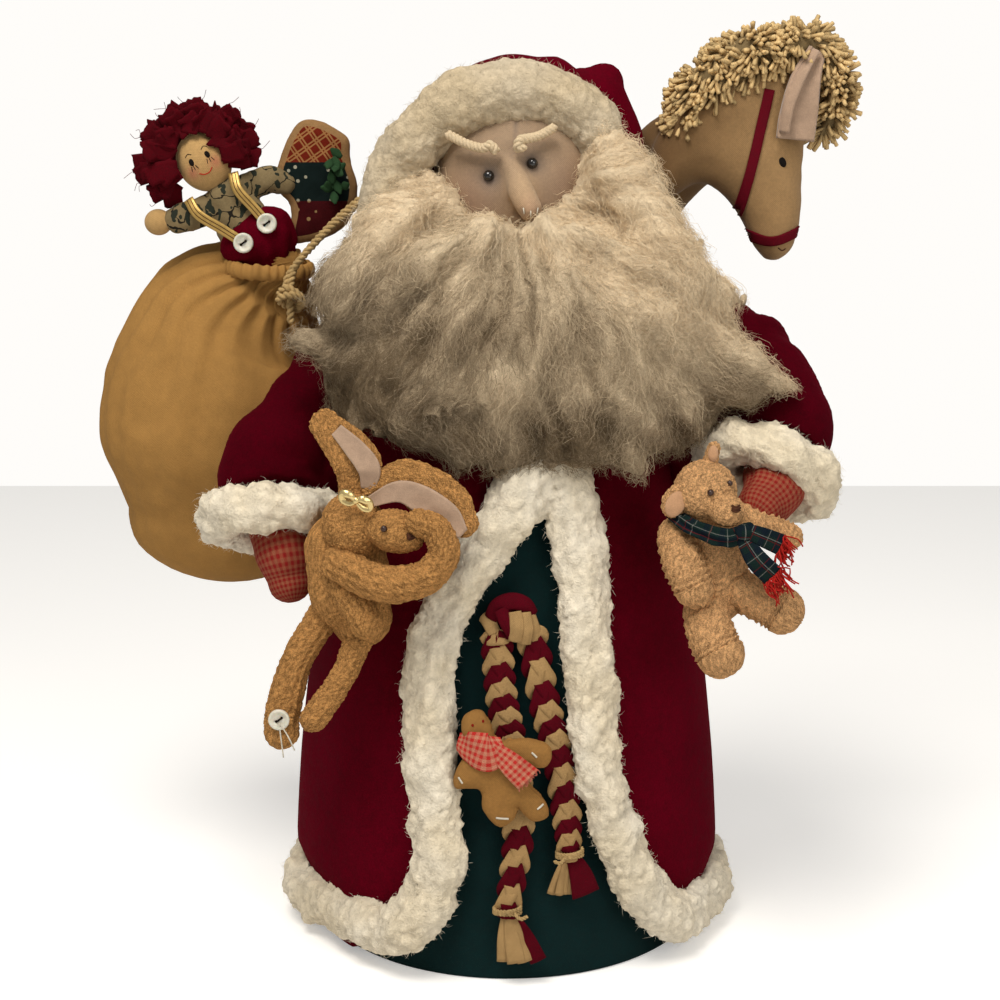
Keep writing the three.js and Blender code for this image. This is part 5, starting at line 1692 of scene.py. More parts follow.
def make_doll():
    make_doll_head()
    make_torn_hair()
    shirt = fused("doll_shirt_cloth", 1.35, 2, *(closed(limb(*part)) for part in SHIRT))
    wrinkle(shirt, 0.9, 7, 4)
    lay_cloth(shirt)
    dress(shirt, "Leaf print", "leaf_print", "doll_shirt", fill=0.6)
    palm = egg(*DOLL_PALM, 30, 36)
    hand = piece("doll_hand_cloth", palm, "Doll face cloth", "doll_cloth", "doll_hand", fill=0.8)
    mark(hand, "blush", 0)
    mark(hand, "shadow", 0)
    form = closed(limb(*OVERALLS, 30, 90, swell=overall_folds))
    piece("doll_overalls_cloth", form, "Burgundy cotton", "burgundy_cloth", "doll_overalls", fill=0.6)
    chest = Surface(shirt)
    for k, strap in enumerate(STRAPS, 1):
        button(f"doll_button_{k}_shell", strap["button"], f"doll_button_{k}")
        make_strap(f"doll_strap_{k}", chest, **strap)


# Ornament

ORNAMENT = [(-119, 470), (-95, 462), (-92, 448), (-88, 430), (-97, 408), (-127, 400), (-126, 420),
            (-134, 431), (-133, 446)]
LEAVES = 16


def make_ornament():
    made, far = stuffed("ornament_patchwork", ORNAMENT, 12, 10, 12, 1.3)
    mark(made, "border", np.clip((0.34 - far) / 0.2 + 0.5, 0, 1))
    wrinkle(made, 0.5, 7, 4)
    dress(made, "Patchwork", "patchwork", "toy_ornament", fill=0.7)
    rng = np.random.default_rng(83)
    leaves = []
    for k in range(LEAVES):
        root = np.array([rng.uniform(-104, -94), 1.5, rng.uniform(428, 450)])
        way = unit(np.array([rng.normal(0.2, 0.7), rng.uniform(-0.6, 0), rng.normal(0.1, 0.8)]))
        route = [root, root + way * 4, root + way * 8]
        leaves.append(sheet(strip(route, [1, 2.6, 0.4], FRONT, 8, 5, 0.5, 0.6, k), 0.4))
    piece("ornament_leaves", joined(*leaves), "Leaf cloth", "patchwork")


# Horse

HORSE_OUTLINE = [(166, 502), (171, 478), (169, 452), (169, 424), (166, 400), (153, 389.5), (142, 399),
                 (133, 417), (121, 430), (108, 434), (88, 424), (80, 444), (92, 474), (116, 492), (144, 504)]
HORSE_NECK = [(112, 10, 460), (94, 26, 446), (76, 46, 420), (62, 62, 384), (56, 70, 345)]
HORSE_NECK_HALVES = ([24, 25, 24, 21, 19], [14, 16, 18, 18, 17])
HORSE_EYE = (155.5, 446)
HORSE_EYE_RADII = (2.1, 0.9, 3.3)
HORSE_NOSTRIL = [(155, 397.5), (157.5, 396), (159.5, 397)]
HORSE_MIDDLE = 8
BRIDLE = (
    ([(147, 486), (139, 448), (130.5, 410)], [2.9, 2.9]),
    ([(136, 406), (151, 401.5), (168.5, 407.5)], [2.6, 2.6]),
)
EAR_NEAR = [(161.5, -12, 458), (163, -13, 472), (166, -13, 490), (173, -10, 508)]
EAR_NEAR_FOLD = [(155, -13, 462), (157, -15, 478), (164, -14, 494), (172, -11, 507)]
EAR_FAR = [(170, 24, 460), (173, 27, 474), (176, 26, 490), (180, 24, 506)]
MANE_ROUTE = [(99, 9, 467), (107, 9, 481), (121, 8, 494), (137, 8, 503), (154, 7, 508), (173, 7, 509),
              (186, 6, 494), (186, 5, 476), (179, 5, 462)]
MANE_WIDTHS = [12, 17, 20, 21, 18, 17, 14, 12.5, 9]
MANE_DEPTHS = [18, 21, 23, 24, 23, 21, 18, 15, 11]
MANE_INSET = 7
MANE_ENDS = 1700


def make_horse():
    flat, _ = stuffed("horse_flat", HORSE_OUTLINE, HORSE_MIDDLE, 31, 20, 1.8)
    neck = closed(limb(HORSE_NECK, *HORSE_NECK_HALVES, 40, 40))
    made = fused("horse_head_cloth", 2.3, 3, form_of(flat), neck)
    points = get_points(made)
    raise_by(made, -(1.5 * spot(points, *HORSE_EYE, 30) + 0.8 * bump(points[:, 1] - HORSE_MIDDLE, 1.5)))
    wrinkle(made, 0.7, 15, 3)
    mark(made, "blush", 0)
    mark(made, "shadow", np.clip((148 - points[:, 0]) / 80, 0, 0.75))
    lay_cloth(made)
    dress(made, "Horse cotton", "gingerbread_cloth", "horse_head", fill=0.9)
    face = Surface(made)
    eye = egg(face.front(*HORSE_EYE)[0], HORSE_EYE_RADII, 16, 20, -30)
    piece("horse_eye", eye, "Dark thread", "cord")
    sewn("horse_nostril", [front_points(face, HORSE_NOSTRIL, 0.1)], 0.4, "Brown thread")
    bands = [laid_on(face, *band, way) for band in BRIDLE for way in (1, -1)]
    piece("horse_bridle_ribbon", joined(*bands), "Ribbon", "ribbon", "horse_bridle")
    near = strip(EAR_NEAR, [10.5, 10.5, 8.5, 4.5], FRONT, 26, 11, -2.2, 0.8)
    fold = strip(EAR_NEAR_FOLD, [3, 3.5, 3, 2], (-0.5, -0.8, 0), 26, 7, 1)
    piece("horse_near_ear_felt", joined(sheet(near, 1.8), sheet(fold, 1.4)), "Felt", "felt", "horse_ear_near")
    far = strip(EAR_FAR, [7, 10, 7, 2], (0.5, 0.8, 0), 22, 9, -2)
    piece("horse_far_ear_felt", sheet(far, 1.8), "Felt", "felt", "horse_ear_far")


def laid_on(surface, middle, halves, way, lift=0.7, rows=24, columns=7):
    """A ribbon that follows a surface, from its middle line seen along +Y (way 1) or -Y (way -1)."""
    t = np.linspace(0, 1, rows)
    line = through([(x, 0, z) for x, z in middle], t)
    across = np.cross(unit(np.gradient(line, axis=0)), FRONT)
    share = np.linspace(-1, 1, columns)
    flat = line[:, None] + across[:, None] * (values(halves, t)[:, None, None] * share[None, :, None])
    grid = np.zeros_like(flat)
    for cell in np.ndindex(rows, columns):
        place, normal = surface.look(flat[cell][0], flat[cell][2], way)
        grid[cell] = place + normal * lift
    return sheet(grid, 0.9)


def make_mane():
    """Cut ends of yarn that stand close together all over a core, darker towards their roots and the core
    darkest: painted shade between them.
    """
    rng = np.random.default_rng(91)
    halves = [np.array(half) - MANE_INSET for half in (MANE_WIDTHS, MANE_DEPTHS)]
    core = piece("horse_mane_core", closed(limb(MANE_ROUTE, *halves, 40, 28)), "Yarn", "yarn")
    # The core is dark all over: painted shade between the yarn ends.
    mark(core, "shade", 0)
    roots, normals = scatter(core, MANE_ENDS, rng)
    comb = unit(drift(roots, 16, 3) - UP * 0.4)
    out = unit(normals + 0.55 * comb + 0.3 * rng.normal(size=(MANE_ENDS, 3)))
    reach = rng.uniform(6.5, 10, (MANE_ENDS, 1, 1))
    t = np.linspace(0, 1, 4)[None, :, None]
    curves = roots[:, None] - normals[:, None] + out[:, None] * reach * t
    curves = curves + (comb[:, None] * 0.8 + rng.normal(0, 0.5, (MANE_ENDS, 1, 3))) * 2.6 * t**2
    radius = rng.uniform(0.95, 1.3, (MANE_ENDS, 1)) * np.array([0.8, 0.9, 1, 1.1, 1.15, 1.0])
    made = piece("horse_mane_yarn", tubes(blunt(curves, 0.4), radius, 4), "Yarn", "yarn", "horse_mane")
    # Each strand darker towards its root: painted shade down among the yarn ends.
    root_shade_each = np.array([*np.repeat([0.1, 0.5, 0.9, 1.0], 4), 0.0, 1.0])
    tone = 0.72 + 0.16 * rng.normal(size=(MANE_ENDS, 1)) + 0.12 * noise(roots, 9, 6)[:, None]
    mark(made, "shade", np.clip(tone * root_shade_each, 0, 1).ravel())


# Belt

BELT_STANDOFF = 8.5
BRAID_PITCH = 9.3
BRAID_HALF = 5.2
BRAID_STRIP = [3.7, 4.2, 4.2, 3.9, 3.4]
BRAID_PATH = [(-0.25, -0.62, 0.2), (0.1, -0.3, 2.0), (0.6, 0.2, 1.7), (1.0, 0.6, 0.4), (0.75, 0.95, -2.6)]
BELT_TAILS = {
    "right": {"top": (-7, 194), "bends": [(-4, 160), (2, 131), (5, 87)], "tie": (-1, 44), "shift": 0.2},
    "left": {"top": (12, 196), "bends": [(19, 158), (26, 131), (31, 98)], "tie": (33, 74), "shift": 0.75},
}
TASSELS = {
    "right": {"tip": (4, 15), "tan": [(-6, 4.6, 0.5), (0, 5, 2), (5, 4.4, 1)], "red": [(12, 4.6, 0)]},
    "left": {
        "tip": (36, 51),
        "tan": [(-13, 2.3, 1), (-9, 2.2, 2), (-5.5, 2, 1), (-2.5, 1.8, 0.4)],
        "red": [(6, 8, 1.5)],
    },
}
KNOT_RED = [
    ([(-10, 204, 8), (-6, 211, 11), (1, 214, 12), (8, 212, 11.5), (12, 206, 9)], [3.4, 4.2, 4.4, 4.2, 3.4]),
    ([(-5, 210, 13), (-1, 203, 14), (2, 196, 12)], [3, 4, 3]),
]
KNOT_TAN = [
    ([(-14, 204, 5), (-11, 202, 8), (-8, 196, 9)], [2.8, 3.6, 3.2]),
    ([(3, 209, 14), (4, 202, 15), (3, 193, 12.5)], [3, 3.6, 3.2]),
    ([(8, 208, 12.5), (9, 200, 14), (8, 191, 11)], [3, 3.6, 3.2]),
    ([(11, 206, 10.5), (13, 199, 10.5), (14, 192, 8)], [2.8, 3.2, 3.2]),
]
KNOT_CORE = [(-8, 203, 4), (1, 207, 6), (10, 203, 4)]


def plaited(route, along, across, out):
    """A place on a braid, from how far along, across and out it lies."""
    at = np.clip(along, 0, 1)
    place = through(route, [at])[0]
    gown = unit(from_axis(place))
    way = unit(through(route, [min(at + 0.02, 1)])[0] - through(route, [max(at - 0.02, 0)])[0])
    half = BRAID_HALF * (1 - 0.35 * max(at * 4 - 3, 0))
    return place + np.cross(way, gown) * across * half + gown * (out - 0.6)


def braid(top, bends, tie, shift):
    """Flat strips plaited down from the belt's knot to the tie, tan and burgundy turn about."""
    route = [on_gown(x, z, BELT_STANDOFF) for x, z in (top, *bends, tie)]
    count = round(length_of(through(route, np.linspace(0, 1, 60))) / BRAID_PITCH)
    tan, red = [], []
    for k in range(-1, count + 1):
        for side in (-1, 1):
            path = [plaited(route, (k + shift + down + side * 0.16) / count, across * side, out)
                    for across, down, out in BRAID_PATH]
            grid = strip(path, BRAID_STRIP, lambda p: unit(from_axis(p)) + UP * 0.3, 14, 6, 0.3, 0.35, k + 9)
            (tan if k % 2 else red).append(sheet(grid, 1.0))
    return tan, red


def tassel(tie, tip, blades):
    """Cut strips below a tie. Blades hold how far across each lies, its half width and its lift."""
    found = []
    for across, half, lift in blades:
        start = on_gown(*tie, BELT_STANDOFF - 1 + lift * 0.4)
        end = on_gown(*tip, BELT_STANDOFF - 1 + lift)
        start[0] += across * 0.12
        end[0] += across
        middle = (start + end) / 2 + unit(from_axis(start)) * 1.5 + np.array([across * 0.1, 0, 0])
        halves = [half * 0.4, half * 0.8, half]
        grid = strip([start, middle, end], halves, from_axis, 14, 9, 0.8, 0.5, int(abs(across)))
        found.append(sheet(grid, 1.2))
    return found


def make_tie(side, tilt):
    """Twine wound three times round a tassel, with one loose end."""
    middle = on_gown(*BELT_TAILS[side]["tie"], BELT_STANDOFF - 0.5)
    out = unit(from_axis(middle))
    long = np.cross(UP, out)
    turn = np.linspace(0, 2 * math.pi, 24)[:, None]
    routes = []
    for k in range(3):
        loop = middle + long * np.cos(turn) * 7.2 + out * np.sin(turn) * 5
        routes.append(loop + UP * (1.4 * (k - 1) + 0.6 * np.sin(turn + k)))
    tail = middle + out * 5.5 + long * tilt
    loose = [tail, tail + long * tilt * 0.8 + FRONT * 2 - UP * 2, tail + long * tilt * 1.7 - UP + FRONT]
    routes.append(through(loose, np.linspace(0, 1, 24)))
    strands = np.concatenate([plies(route, 2, 0.5, 3.5, 70) for route in routes])
    twine = tubes(blunt(strands), 0.62, 5)
    made = piece(f"tassel_tie_{side}_twine", twine, "Twisted cord", "cord", f"tassel_tie_{side}")
    mottle(made, 0.55, 0.4, 1.2, 5)


def make_belt():
    tan, red = [], []
    for side, tail in BELT_TAILS.items():
        hanging = TASSELS[side]
        for found, strips, blades in zip((tan, red), braid(**tail), (hanging["tan"], hanging["red"])):
            found += strips + tassel(tail["tie"], hanging["tip"], blades)
    for found, folds in ((red, KNOT_RED), (tan, KNOT_TAN)):
        for k, (places, halves) in enumerate(folds):
            route = [on_gown(*place) for place in places]
            grid = strip(route, halves, lambda p: unit(from_axis(p)) + UP * 0.4, 20, 13, 1.3, 0.8, k + 3)
            found.append(sheet(grid, 1.2))
    under = [on_gown(*place) for place in KNOT_CORE]
    red.append(closed(limb(under, [4, 5, 4], [4, 5, 4], 20, 30, from_axis)))
    piece("belt_burgundy", joined(*red), "Braid burgundy", "burgundy_cloth", "braided_belt")
    piece("belt_tan", joined(*tan), "Braid tan", "gingerbread_cloth")
    make_tie("right", 4)
    make_tie("left", -4)


# Gingerbread figure

GINGERBREAD = [(-10, 149), (-15, 158), (-24, 155), (-25, 146), (-20, 138), (-28, 126), (-29, 115), (-16, 114),
               (-14, 102), (-5, 93), (3, 98), (4, 105), (12, 96), (21, 99), (19, 107), (7, 120), (8, 126),
               (20, 127), (22, 137), (10, 142), (-6, 141)]
GINGERBREAD_EYES = ((-19.5, 151), (-14, 153))
STITCHES = [((12, 136), (14.5, 133.5)), ((-27, 122), (-25, 119)), ((15, 104.5), (18, 106.5)),
            ((-7, 99.5), (-0.5, 99))]
SCARF_BUNCH = [(-27, -121, 140), (-20, -127.5, 139), (-11, -129, 137), (-3, -127.5, 140)]
SCARF_TAIL = [(-9, -129, 139), (1, -131, 131), (10, -130, 122)]


def make_gingerbread():
    made, _ = stuffed("gingerbread_cloth", GINGERBREAD, -122, 10, 7, 1.05)
    wrinkle(made, 0.35, 6, 8)
    dress(made, "Gingerbread cotton", "gingerbread_cloth", "gingerbread", fill=0.7)
    front = Surface(made)
    eyes = [egg(front.front(*at)[0], (0.75, 0.4, 0.9), 8, 10) for at in GINGERBREAD_EYES]
    piece("gingerbread_eyes", joined(*eyes), "Red fringe", "cord")
    routes = [front_points(front, [a, ((a[0] + b[0]) / 2, (a[1] + b[1]) / 2), b], 0.25) for a, b in STITCHES]
    sewn("gingerbread_stitches", routes, 0.55, "White thread")
    bunch = strip(SCARF_BUNCH, [5, 9, 10.5, 5], FRONT, 34, 23, 1.5, 2.2, 3)
    tail = strip(SCARF_TAIL, [4, 6.5, 7.5], FRONT, 34, 21, 0.8, 1.6, 5)
    form = joined(sheet(bunch, 0.9), sheet(tail, 0.9))
    made = piece("gingerbread_scarf_cloth", form, "Scarf gingham", "gingham", "gingerbread_scarf")
    fray(tail[-1], -UP, "gingerbread_scarf_fray", "Pale red thread", "gingham", 1.6, 26, 3, 0.2)


# Terry toys

TERRY_RISE = 0.95
TERRY_FILL = 0.6
RIB_PITCH = 3.6
RIB_DEPTH = 1.3
EAR_DEPTH = 2.6
EAR_CAPS = (3, 7)
RABBIT_SKULL = ((-82, -114, 256), (17, 15, 19))
RABBIT_MUZZLE = ((-59, -126.5, 256), (16, 11, 11.5))
RABBIT_BODY = ([(-89, -98, 240), (-84, -99, 216), (-80, -99, 204)], [21, 23, 17])
DROOPING_EAR = [(-74, -117, 274), (-54, -121, 281), (-34, -125, 270), (-23, -127, 260)]
UPRIGHT_LINING = [(-74, -119, 277), (-73, -122, 288), (-80, -121.5, 298), (-90, -119.5, 308)]
RABBIT_EARS = {
    "ear_upright": (5, [(-80, -114, 270), (-80, -117, 291), (-97, -115, 311)], [9, 13, 8]),
    "ear_drooping": (6, DROOPING_EAR, [7, 12, 14, 8]),
}
RAISED_ARM = [(-90, -122, 238), (-68, -133, 230), (-46, -135, 232), (-34, -134, 245), (-38, -134, 258),
              (-47, -134, 262)]
OUTER_LEG = [(-98, -98, 207), (-114, -103, 182), (-122, -106, 155), (-123, -110, 142)]
RABBIT_LIMBS = {
    "arm_raised": (7, RAISED_ARM, [9, 9.5, 9, 8, 7.5, 7]),
    "arm_hanging": (8, [(-93, -112, 234), (-84, -120, 220), (-75, -124, 206)], [9, 9, 8.5]),
    "leg_outer": (9, OUTER_LEG, [9, 8.5, 9.5, 9.5]),
    "leg_inner": (10, [(-80, -106, 195), (-89, -112, 174), (-105, -119, 152)], [7.8, 6.8, 7.2]),
}
RABBIT_BUTTON = (-123, -120, 152)
BUTTON_TAILS = [
    [(-123, -120.5, 151), (-122, -121, 142), (-121, -120, 131)],
    [(-123, -120.5, 151), (-118, -121.5, 143), (-115, -120, 135)],
]
BOW_AT = np.array([-79.0, -132.0, 273.0])
BOW_LOOP = [(0, 0, 0), (3, -1.4, 2.2), (6.5, -0.8, 1.6), (6.8, 0.6, -1.8), (3.4, 0.4, -2.4), (0, 0, -0.4)]
BEAR_SKULL = ((103, -111, 274), (17, 15, 17))
BEAR_MUZZLE = ((113, -124, 266), (9.5, 9, 8.5))
BEAR_BODY = ([(106, -101, 252), (110, -102, 234), (111, -102, 218)], [15, 17.5, 16.5])
BEAR_LEFT_EAR = ([(105, -109, 288), (107, -109, 297)], [4.5, 3.5])
BEAR_RIGHT_EAR = ((87, -116, 270), (7, 4.5, 9.5), 26, 44, 25)
BEAR_EAR_LININGS = (
    ((86.5, -120.2, 269), (5, 1.4, 7.2), 20, 30, 25),
    ((106.5, -113.2, 294.5), (2.6, 1.2, 4.4), 16, 24),
)
BEAR_LIMBS = {
    "arm_right": (17, 28, [(88, -108, 250), (92, -118, 236), (97, -121, 224)], [10, 11, 10.5]),
    "leg_right": (18, 24, [(104, -110, 212), (107, -121, 198), (111, -125, 190)], [12, 13, 13]),
    "arm_left": (17, 28, [(122, -104, 260), (138, -106, 253), (149, -107, 249)], [8, 8, 7]),
    "leg_left": (18, 24, [(120, -108, 222), (136, -113, 215), (144, -115, 211)], [11, 12, 12.5]),
}
SCARF_KNOT = ((121, -131, 256), (5, 4, 4.5))
BEAR_SCARF = [(86, -112, 262), (96, -124, 257), (112, -130, 253), (124, -127, 257)]
SHORT_TAIL = [(121, -131, 258), (131, -133, 254), (140, -132, 250)]
LONG_TAIL = [(120, -131, 254), (127, -135, 243), (136, -134, 234)]


def terry(made, toy, part, seed):
    """Raises the loops of terry cloth on a stuffed part of a toy."""
    points = get_points(made)
    height = tufts(points + 0.5 * drift(points, 3, seed), size("loop"), seed)
    raise_by(made, (height - 0.6) * TERRY_RISE + 0.5 * noise(points, 8, seed))
    # The loop height, which the terry material darkens low down as painted shade.
    mark(made, "depth", height)
    return dress(made, f"{toy.capitalize()} terry", f"{toy}_terry", f"{toy}_{part}", fill=TERRY_FILL)


def terry_limb(toy, part, seed, route, radii, depths=None, caps=None, swell=None):
    rows, sides = round(length_of(np.array(route, float)) / 1.15), round(max(radii) * 5.2)
    grid = limb(route, radii, depths, rows, sides, caps=caps, swell=swell, ends=9)
    terry(new_piece(f"{toy}_{part}_terry", *closed(grid)), toy, part, seed)


def terry_head(toy, seed, *forms):
    return Surface(terry(fused(f"{toy}_head_terry", 1.05, 3, *forms), toy, "head", seed))


def bead_eye(name, face, x, z, radius, way=1):
    at, normal = face.look(x, z, way)
    piece(name, egg(at + normal * 0.2, [radius] * 3, 16, 20), "Brown bead", "bead")


def sewn_nose(toy, face, at, rows, half, rise, thick):
    """Rows of stitches across the muzzle. rise is how far their ends and their middles are off the row."""
    x, top = at
    lines = [[(x - half, top - row + rise[0]), (x, top - row + rise[1]), (x + half, top - row + rise[0])]
             for row in range(rows)]
    sewn(f"{toy}_nose", [front_points(face, line, 0.4) for line in lines], thick, "Brown thread")


def ribs(length):
    """Rows of loops round a limb."""
    return lambda t, angle, places: RIB_DEPTH * np.sin(math.pi * t * length / RIB_PITCH) ** 2 - RIB_DEPTH / 2


def wales(t, angle, places):
    """Rows of loops along a limb."""
    return 1.3 * np.abs(np.sin(6 * angle)) - 0.8


def make_rabbit():
    face = terry_head("rabbit", 3, egg(*RABBIT_SKULL, tilt=-15), egg(*RABBIT_MUZZLE, tilt=12))
    bead_eye("rabbit_eye_near", face, -64.5, 259.2, 1.8)
    bead_eye("rabbit_eye_far", face, -64.5, 262, 1.8, -1)
    sewn_nose("rabbit", face, (-50.8, 255.6), 3, 2, (1, 0), 0.8)
    terry_limb("rabbit", "body", 4, *RABBIT_BODY)
    for part, (seed, route, radii) in RABBIT_EARS.items():
        terry_limb("rabbit", part, seed, route, radii, [EAR_DEPTH] * len(radii), EAR_CAPS)
    upright = strip(UPRIGHT_LINING, [3.5, 6, 5.5, 3.5], FRONT, 34, 13, -0.5, 1.3, 2)
    below = [(x - 1, y - 4.4, z - 4.5) for x, y, z in DROOPING_EAR]
    drooping = strip(below, [2.5, 6, 8, 3], FRONT, 34, 13, -0.5, 1.3, 4)
    piece("rabbit_ear_lining", joined(sheet(upright, 0.8), sheet(drooping, 0.8)), "Ear lining", "felt")
    for part, (seed, route, radii) in RABBIT_LIMBS.items():
        terry_limb("rabbit", part, seed, route, radii, swell=wales)
    button("rabbit_button_shell", RABBIT_BUTTON, "rabbit_button")
    sewn("rabbit_button_tails", BUTTON_TAILS, 0.4, "White thread", steps=14)
    bow = [egg(BOW_AT, (1.8, 1.6, 2.0), 12, 16)]
    for side in (-1, 1):
        route = [BOW_AT + np.array([side * x, y, z - side * x * 0.35]) for x, y, z in BOW_LOOP]
        bow.append(sheet(strip(route, [1.0, 1.9, 2.1, 2.0, 1.8, 1.0], FRONT + UP * 0.4, 22, 5, 0.4), 0.4))
    piece("rabbit_bow_ribbon", joined(*bow), "Bow gold", "gold_ribbon", "rabbit_bow")


def make_bear():
    face = terry_head("bear", 13, egg(*BEAR_SKULL), egg(*BEAR_MUZZLE))
    bead_eye("bear_eye_right", face, 104, 276, 1.8)
    bead_eye("bear_eye_left", face, 114.5, 280, 1.6)
    sewn_nose("bear", face, (116.5, 270), 3, 2.2, (0, -0.8), 0.65)
    terry_limb("bear", "body", 14, *BEAR_BODY)
    terry_limb("bear", "ear_left", 15, *BEAR_LEFT_EAR)
    terry(new_piece("bear_ear_right_terry", *egg(*BEAR_RIGHT_EAR)), "bear", "ear_right", 16)
    linings = joined(*(egg(*lining) for lining in BEAR_EAR_LININGS))
    piece("bear_ear_lining", linings, "Bear ear lining", "felt")
    for part, (seed, length, route, radii) in BEAR_LIMBS.items():
        terry_limb("bear", part, seed, route, radii, swell=ribs(length))
    make_bear_scarf()


def scarf_folds(t, angle, places):
    return 0.9 * np.sin(angle * 5 + 4 * t) + 0.4 * noise(places, 5, 3)


def make_bear_scarf():
    neck = closed(limb(BEAR_SCARF, [3.4, 3.8, 4.2, 3.6], [3.4] * 4, 50, 40, swell=scarf_folds))
    short = strip(SHORT_TAIL, [3, 5, 5.5], FRONT, 26, 15, 0.8, 0.9, 2)
    long = strip(LONG_TAIL, [3.5, 5.5, 6], FRONT, 30, 15, 0.8, 0.9, 3)
    form = joined(neck, egg(*SCARF_KNOT), sheet(short, 1.1), sheet(long, 1.1))
    made = piece("bear_scarf_cloth", form, "Dark plaid", "plaid", "bear_scarf")
    fray(short[-1], np.array([0.5, 0, -0.9]), "bear_scarf_short_fringe", "Red fringe", "plaid", 8, 46, 5, 0.4)
    fray(long[-1], np.array([0.55, 0, -0.85]), "bear_scarf_long_fringe", "Red fringe", "plaid", 9, 50, 6, 0.4)


# Stage

FLOOR_HALF = 1500
FLOOR_GLOW = 0.35
WORLD_STRENGTH = 0.36
LAMP_AIM = (0, 0, 0.25)
LAMPS = {
    "Key": {"place": (-0.35, -0.85, 1.75), "width": 0.9, "energy": 26},
    "Fill": {"place": (0.9, -1.3, 0.9), "width": 0.9, "energy": 7},
}
CAMERA_PLACE = (-0.005, -1.0, 0.43)
CAMERA_PITCH = 10.23
CAMERA_LENS = 61.75


def make_floor():
    corners = [(-1, -1, 0), (1, -1, 0), (1, 1, 0), (-1, 1, 0)]
    floor = new_piece("floor", np.array(corners, float) * FLOOR_HALF, [np.array([[0, 1, 2, 3]])])
    s = new_shader("Pale floor")
    grain = s.grain(s.place(), 3.0, 4.0)
    s.finish(s.scaled((0.9, 0.89, 0.87), s.between(grain, 0.3, 0.7, 0.97, 1.0)), 0.6, grain, 0.02)
    surface = s.tree.nodes["Principled BSDF"]
    surface.inputs["Emission Color"].default_value = (1, 0.99, 0.97, 1)
    s.put(surface.inputs["Emission Strength"], s.math("MULTIPLY", s.node("LightPath"), FLOOR_GLOW))
    floor.data.materials.append(bpy.data.materials["Pale floor"])


def make_world():
    """White where the camera sees it, and dimmer where it lights the figure."""
    world = bpy.data.worlds.new("Studio")
    world.use_nodes = True
    s = Shader(world.node_tree)
    background = world.node_tree.nodes["Background"]
    s.put(background.inputs["Color"], (1.0, 0.98, 0.95))
    s.put(background.inputs["Strength"], s.between(s.node("LightPath"), 0.0, 1.0, WORLD_STRENGTH, 1.0))
    bpy.context.scene.world = world


def make_lamp(name, place, width, energy):
    lamp = bpy.data.lights.new(name, "AREA")
    lamp.shape = "DISK"
    lamp.size = width
    lamp.energy = energy
    lamp.color = (1.0, 0.96, 0.9)
    holder = bpy.data.objects.new(name, lamp)
    bpy.context.scene.collection.objects.link(holder)
    holder.location = place
    holder.rotation_euler = (Vector(LAMP_AIM) - Vector(place)).to_track_quat("-Z", "Y").to_euler()


def make_stage():
    make_floor()
    make_world()
    for name, lamp in LAMPS.items():
        make_lamp(name, **lamp)
    camera = bpy.data.objects.new("Camera", bpy.data.cameras.new("Camera"))
    bpy.context.scene.collection.objects.link(camera)
    camera.location = CAMERA_PLACE
    camera.rotation_euler = (math.radians(90 - CAMERA_PITCH), 0, 0)
    camera.data.lens = CAMERA_LENS
    bpy.context.scene.camera = camera
    bpy.context.scene.view_settings.view_transform = "Standard"


# Settings, operators and panel

def length(name, description, default):
    return FloatProperty(name=name, description=description, default=default, min=1e-5, soft_max=0.2,
                         unit="LENGTH", precision=5)


def tint(name, *default):
    return FloatVectorProperty(name=name, description=f"Colour of the {name.lower()}", default=default,
                               subtype="COLOR", min=0, max=1)


class SantaSizes(bpy.types.PropertyGroup):
    thread: length("Thread", "Distance between the threads of the plain cloth", 0.00055)
    check: length("Gingham check", "Width of one dark and one pale stripe of the gingham", 0.0025)
    loop: length("Terry loop", "Distance between the loops of the toys' terry", 0.0021)
    fleece_hair: length("Fleece hair", "Length of the hairs that stand out of the fleece", 0.0046)
    wool_strand: length("Wool strand", "Thickness of a strand of the beard", 0.00028)


class SantaColours(bpy.types.PropertyGroup):
    green_cloth: tint("Green cloth", 0.0035, 0.0165, 0.017)
    burgundy_cloth: tint("Burgundy cloth", 0.083, 0.0005, 0.0058)
    fleece: tint("Fleece", 0.88, 0.80, 0.65)
    wool: tint("Wool", 0.81, 0.65, 0.44)
    face_cloth: tint("Face cloth", 0.43, 0.295, 0.175)
    muslin: tint("Muslin", 0.36, 0.19, 0.055)
    cord: tint("Cord", 0.50, 0.34, 0.15)
    gingham: tint("Gingham", 0.24, 0.014, 0.012)
    rabbit_terry: tint("Rabbit terry", 0.46, 0.23, 0.075)
    bear_terry: tint("Bear terry", 0.60, 0.335, 0.15)
    felt: tint("Felt", 0.38, 0.26, 0.18)
    yarn: tint("Yarn", 0.74, 0.52, 0.245)
    ribbon: tint("Ribbon", 0.10, 0.002, 0.008)
    doll_cloth: tint("Doll cloth", 0.43, 0.265, 0.105)
    torn_cloth: tint("Torn cloth", 0.068, 0.0006, 0.0035)
    gingerbread_cloth: tint("Gingerbread cloth", 0.25, 0.125, 0.036)
    plaid: tint("Plaid", 0.006, 0.017, 0.015)
    bead: tint("Bead", 0.004, 0.0035, 0.0035)
    shell_button: tint("Shirt button", 0.68, 0.61, 0.50)
    gold_ribbon: tint("Gold ribbon", 0.46, 0.29, 0.08)


class SANTA_OT_materials(bpy.types.Operator):
    """Make every finish"""
    bl_idname = "santa.materials"
    bl_label = "Materials"

    def execute(self, context):
        make_materials()
        return {"FINISHED"}


class SANTA_OT_gown(bpy.types.Operator):
    """Make the green gown"""
    bl_idname = "santa.gown"
    bl_label = "Gown"

    def execute(self, context):
        make_gown()
        return {"FINISHED"}


class SANTA_OT_coat(bpy.types.Operator):
    """Make the coat"""
    bl_idname = "santa.coat"
    bl_label = "Coat"

    def execute(self, context):
        make_coat()
        return {"FINISHED"}


